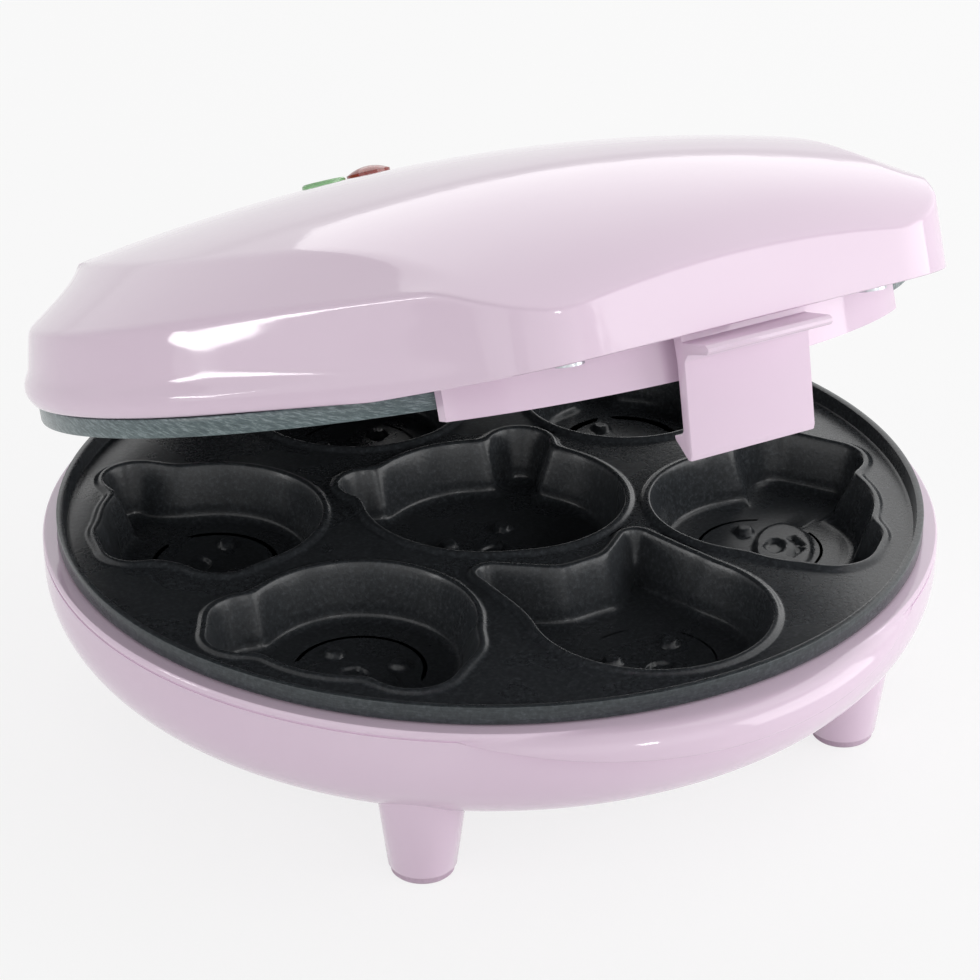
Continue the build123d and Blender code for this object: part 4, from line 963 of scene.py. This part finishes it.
def mark_wear(plate, upper):
    """Marks how much the outer wall is rubbed, as an attribute that the coat reads."""
    places = np.empty(len(plate.data.vertices) * 3)
    plate.data.vertices.foreach_get("co", places)
    places = places.reshape(-1, 3) / METRES + np.array((0, FOOTPRINT_MIDDLE, 0))
    if upper:
        places = open_lid(places, -REST_ANGLE)
    worn = np.clip((np.hypot(places[:, 0], places[:, 1]) - WEAR_RADIUS) / WEAR_WIDTH, 0, 1)
    worn *= UPPER_WEAR if upper else LOWER_WEAR
    plate.data.attributes.new("worn", "FLOAT", "POINT").data.foreach_set("value", worn)


def make_plate(name, upper):
    """The lower plate, or the same plate mirrored about the seam and turned with the lid."""
    shape = bmesh.new()

    def put(points):
        points = np.array(points, float)
        if upper:
            points[..., 2] = 2 * SEAM - points[..., 2]
            points = open_lid(points)
        return points

    def add_side(forms, level, height):
        for rows in forms:
            add_grid(shape, [put(row) for row in rows], last_pole=True)
        points, triangles = fill_flat(round_ring(*level), [rows[0] for rows in forms], height)
        add_faces(shape, put(points), triangles)

    add_side([mould_rows(figure, FIGURE_POINTS) for figure in FIGURES], PLATE_RIM[0], PLATE_FLOOR)
    add_grid(shape, [put(round_ring(*level)) for level in PLATE_RIM])
    add_side([cup_rows(figure[2]) for figure in FIGURES], PLATE_RIM[-1], PLATE_UNDER)
    plate = finish_shape(name, shape, coated_plate, 42.0)
    mark_wear(plate, upper)
    return plate


lower_plate = make_plate("lower_plate_casting", False)
place_on(lower_plate, "base", "coated_plate", "lower_plate")
upper_plate = make_plate("upper_plate_casting", True)
place_on(upper_plate, "lid", "coated_plate", "upper_plate")

# %% [markdown]
# ## Latch
# The latch is a flat tongue that hangs from a pin in the lid frame. A thumb ledge sticks out near its top,
# and a hook at its foot catches under the front lip of the bowl. It is one outline pushed sideways, and
# its edges are softened as a mould softens them.

# %% Latch tongue
PIVOT_Y, PIVOT_Z, LATCH_HALF = -101.2, 53.5, 13.5
LATCH_OUTLINE = [
    (PIVOT_Y - 2.0, PIVOT_Z), (PIVOT_Y - 2.0, 49.6), (-110.8, 49.3), (-111.6, 48.7), (-111.6, 48.1),
    (-110.8, 47.5), (-104.6, 47.3), (-103.1, 46.0), (-100.5, 28.6), (-99.9, 27.6), (-99.0, 27.7),
    (-95.6, 31.5), (-95.6, 32.3), (-98.0, 32.5), (-98.8, 33.2), (-100.5, 46.0), (-100.5, 50.5),
    (PIVOT_Y + 1.8, PIVOT_Z)]
latch_shape = bmesh.new()
add_slab(latch_shape, LATCH_OUTLINE, -LATCH_HALF, LATCH_HALF, opened=True)
latch_barrel = barrel(2.2, 1.26, -LATCH_HALF, LATCH_HALF, 0.3)
add_turned(latch_shape, latch_barrel, (0, PIVOT_Y, PIVOT_Z), "X", 48, opened=True)
latch = finish_shape("latch_tongue", latch_shape, shell_plastic, 30.0)
place_on(latch, "latch", "shell_plastic", "latch")

# %% [markdown]
# ## Table, light and camera
# The appliance stands on a plain white table in a studio. Four large lamps light it softly, and two
# small ones, like windows, draw the bright streaks on the creases of the gloss plastic. The white
# surroundings are seen, mirrored and seen through at full strength, but add only a part of that as
# light. The table does the same, so that it looks white and still keeps the contact shadow.

# %% Table and surroundings
TABLE_HALF, TABLE_GLOW, WORLD_LIGHT = 4.0, 0.8, 0.29
WHITE = (1.0, 1.0, 1.0, 1.0)


mesh = bpy.data.meshes.new("table_top")
corners = [(x * TABLE_HALF, y * TABLE_HALF, 0) for x, y in ((-1, -1), (1, -1), (1, 1), (-1, 1))]
mesh.from_pydata(corners, [], [(0, 1, 2, 3)])
table = put_in_scene("table_top", mesh)
laminate = bpy.data.materials.new("white_table_laminate")
laminate.use_nodes = True
mesh.materials.append(laminate)
tree = laminate.node_tree
tree.nodes.remove(tree.nodes["Principled BSDF"])
matt = add_node(tree, "ShaderNodeBsdfDiffuse", {"Color": colour("#F2F2F2")})
glow = add_node(tree, "ShaderNodeEmission", {"Color": WHITE, "Strength": 1.0})
ray = add_node(tree, "ShaderNodeLightPath").outputs
seen = add_node(tree, "ShaderNodeMath", {"operation": "MAXIMUM"},
                {0: ray["Is Camera Ray"], 1: ray["Is Glossy Ray"]})
share = add_node(tree, "ShaderNodeMath", {"operation": "MULTIPLY", 1: TABLE_GLOW}, {0: seen})
both = add_node(tree, "ShaderNodeMixShader", {}, {0: share, 1: matt, 2: glow})
connect(tree, tree.nodes["Material Output"], {"Surface": both})

world = bpy.data.worlds.new("white_studio")
bpy.context.scene.world = world
world.use_nodes = True
tree = world.node_tree
ray = add_node(tree, "ShaderNodeLightPath").outputs
through = add_node(tree, "ShaderNodeMath", {"operation": "MAXIMUM"},
                   {0: ray["Is Camera Ray"], 1: ray["Is Transmission Ray"]})
seen = add_node(tree, "ShaderNodeMath", {"operation": "MAXIMUM"}, {0: through, 1: ray["Is Glossy Ray"]})
level = add_node(tree, "ShaderNodeMapRange", {"To Min": WORLD_LIGHT, "To Max": 1.0}, {"Value": seen})
background = tree.nodes["Background"]
background.inputs["Color"].default_value = WHITE
connect(tree, background, {"Strength": level})
print("table and surroundings are in place")

# %% Lamps and camera, in metres and watts
LAMPS = (
    ("overhead_softbox", (0.68, 0.50, 0.90), (0, 0, 0.05), 2.2, 2.2, 12.0),
    ("right_softbox", (0.94, -0.75, 0.32), (0.02, 0, 0.06), 1.1, 0.9, 8.8),
    ("left_softbox", (-1.24, -0.22, 0.40), (0, 0, 0.07), 1.5, 1.1, 3.8),
    ("front_softbox", (-0.25, -1.50, 0.60), (0, 0, 0.07), 1.7, 1.0, 3.0),
    ("left_window", (-1.232, 0.352, 0.31), (0, 0, 0.08), 0.32, 0.10, 1.2),
    ("front_window", (-0.043, -1.221, 0.515), (0, 0, 0.08), 0.12, 0.20, 0.9),
)
CAMERA_PLACE, CAMERA_AIM = Vector((-0.3270, -0.5510, 0.3652)), Vector((0.0, 0.0, 0.0440))
LENS, SENSOR, NEAREST, FARTHEST = 126.2, 36.0, 0.05, 50.0


def facing(place, aim):
    """Angles that turn a lamp or a camera at a place towards its aim."""
    return (Vector(aim) - Vector(place)).to_track_quat("-Z", "Y").to_euler()


for name, place, aim, width, height, power in LAMPS:
    light = bpy.data.lights.new(name, "AREA")
    light.shape, light.size, light.size_y, light.energy = "RECTANGLE", width, height, power
    lamp = put_in_scene(name, light)
    lamp.location, lamp.rotation_euler = place, facing(place, aim)

lens = bpy.data.cameras.new("photo_camera")
lens.lens, lens.sensor_width, lens.clip_start, lens.clip_end = LENS, SENSOR, NEAREST, FARTHEST
camera = put_in_scene("photo_camera", lens)
middle = Vector((0.0, FOOTPRINT_MIDDLE * METRES, 0.0))
camera.location = CAMERA_PLACE - middle
camera.rotation_euler = facing(camera.location, CAMERA_AIM - middle)
bpy.context.scene.camera = camera
bpy.context.scene.view_settings.view_transform = "Standard"
print("lamps:", len(LAMPS), "and the camera are in place")
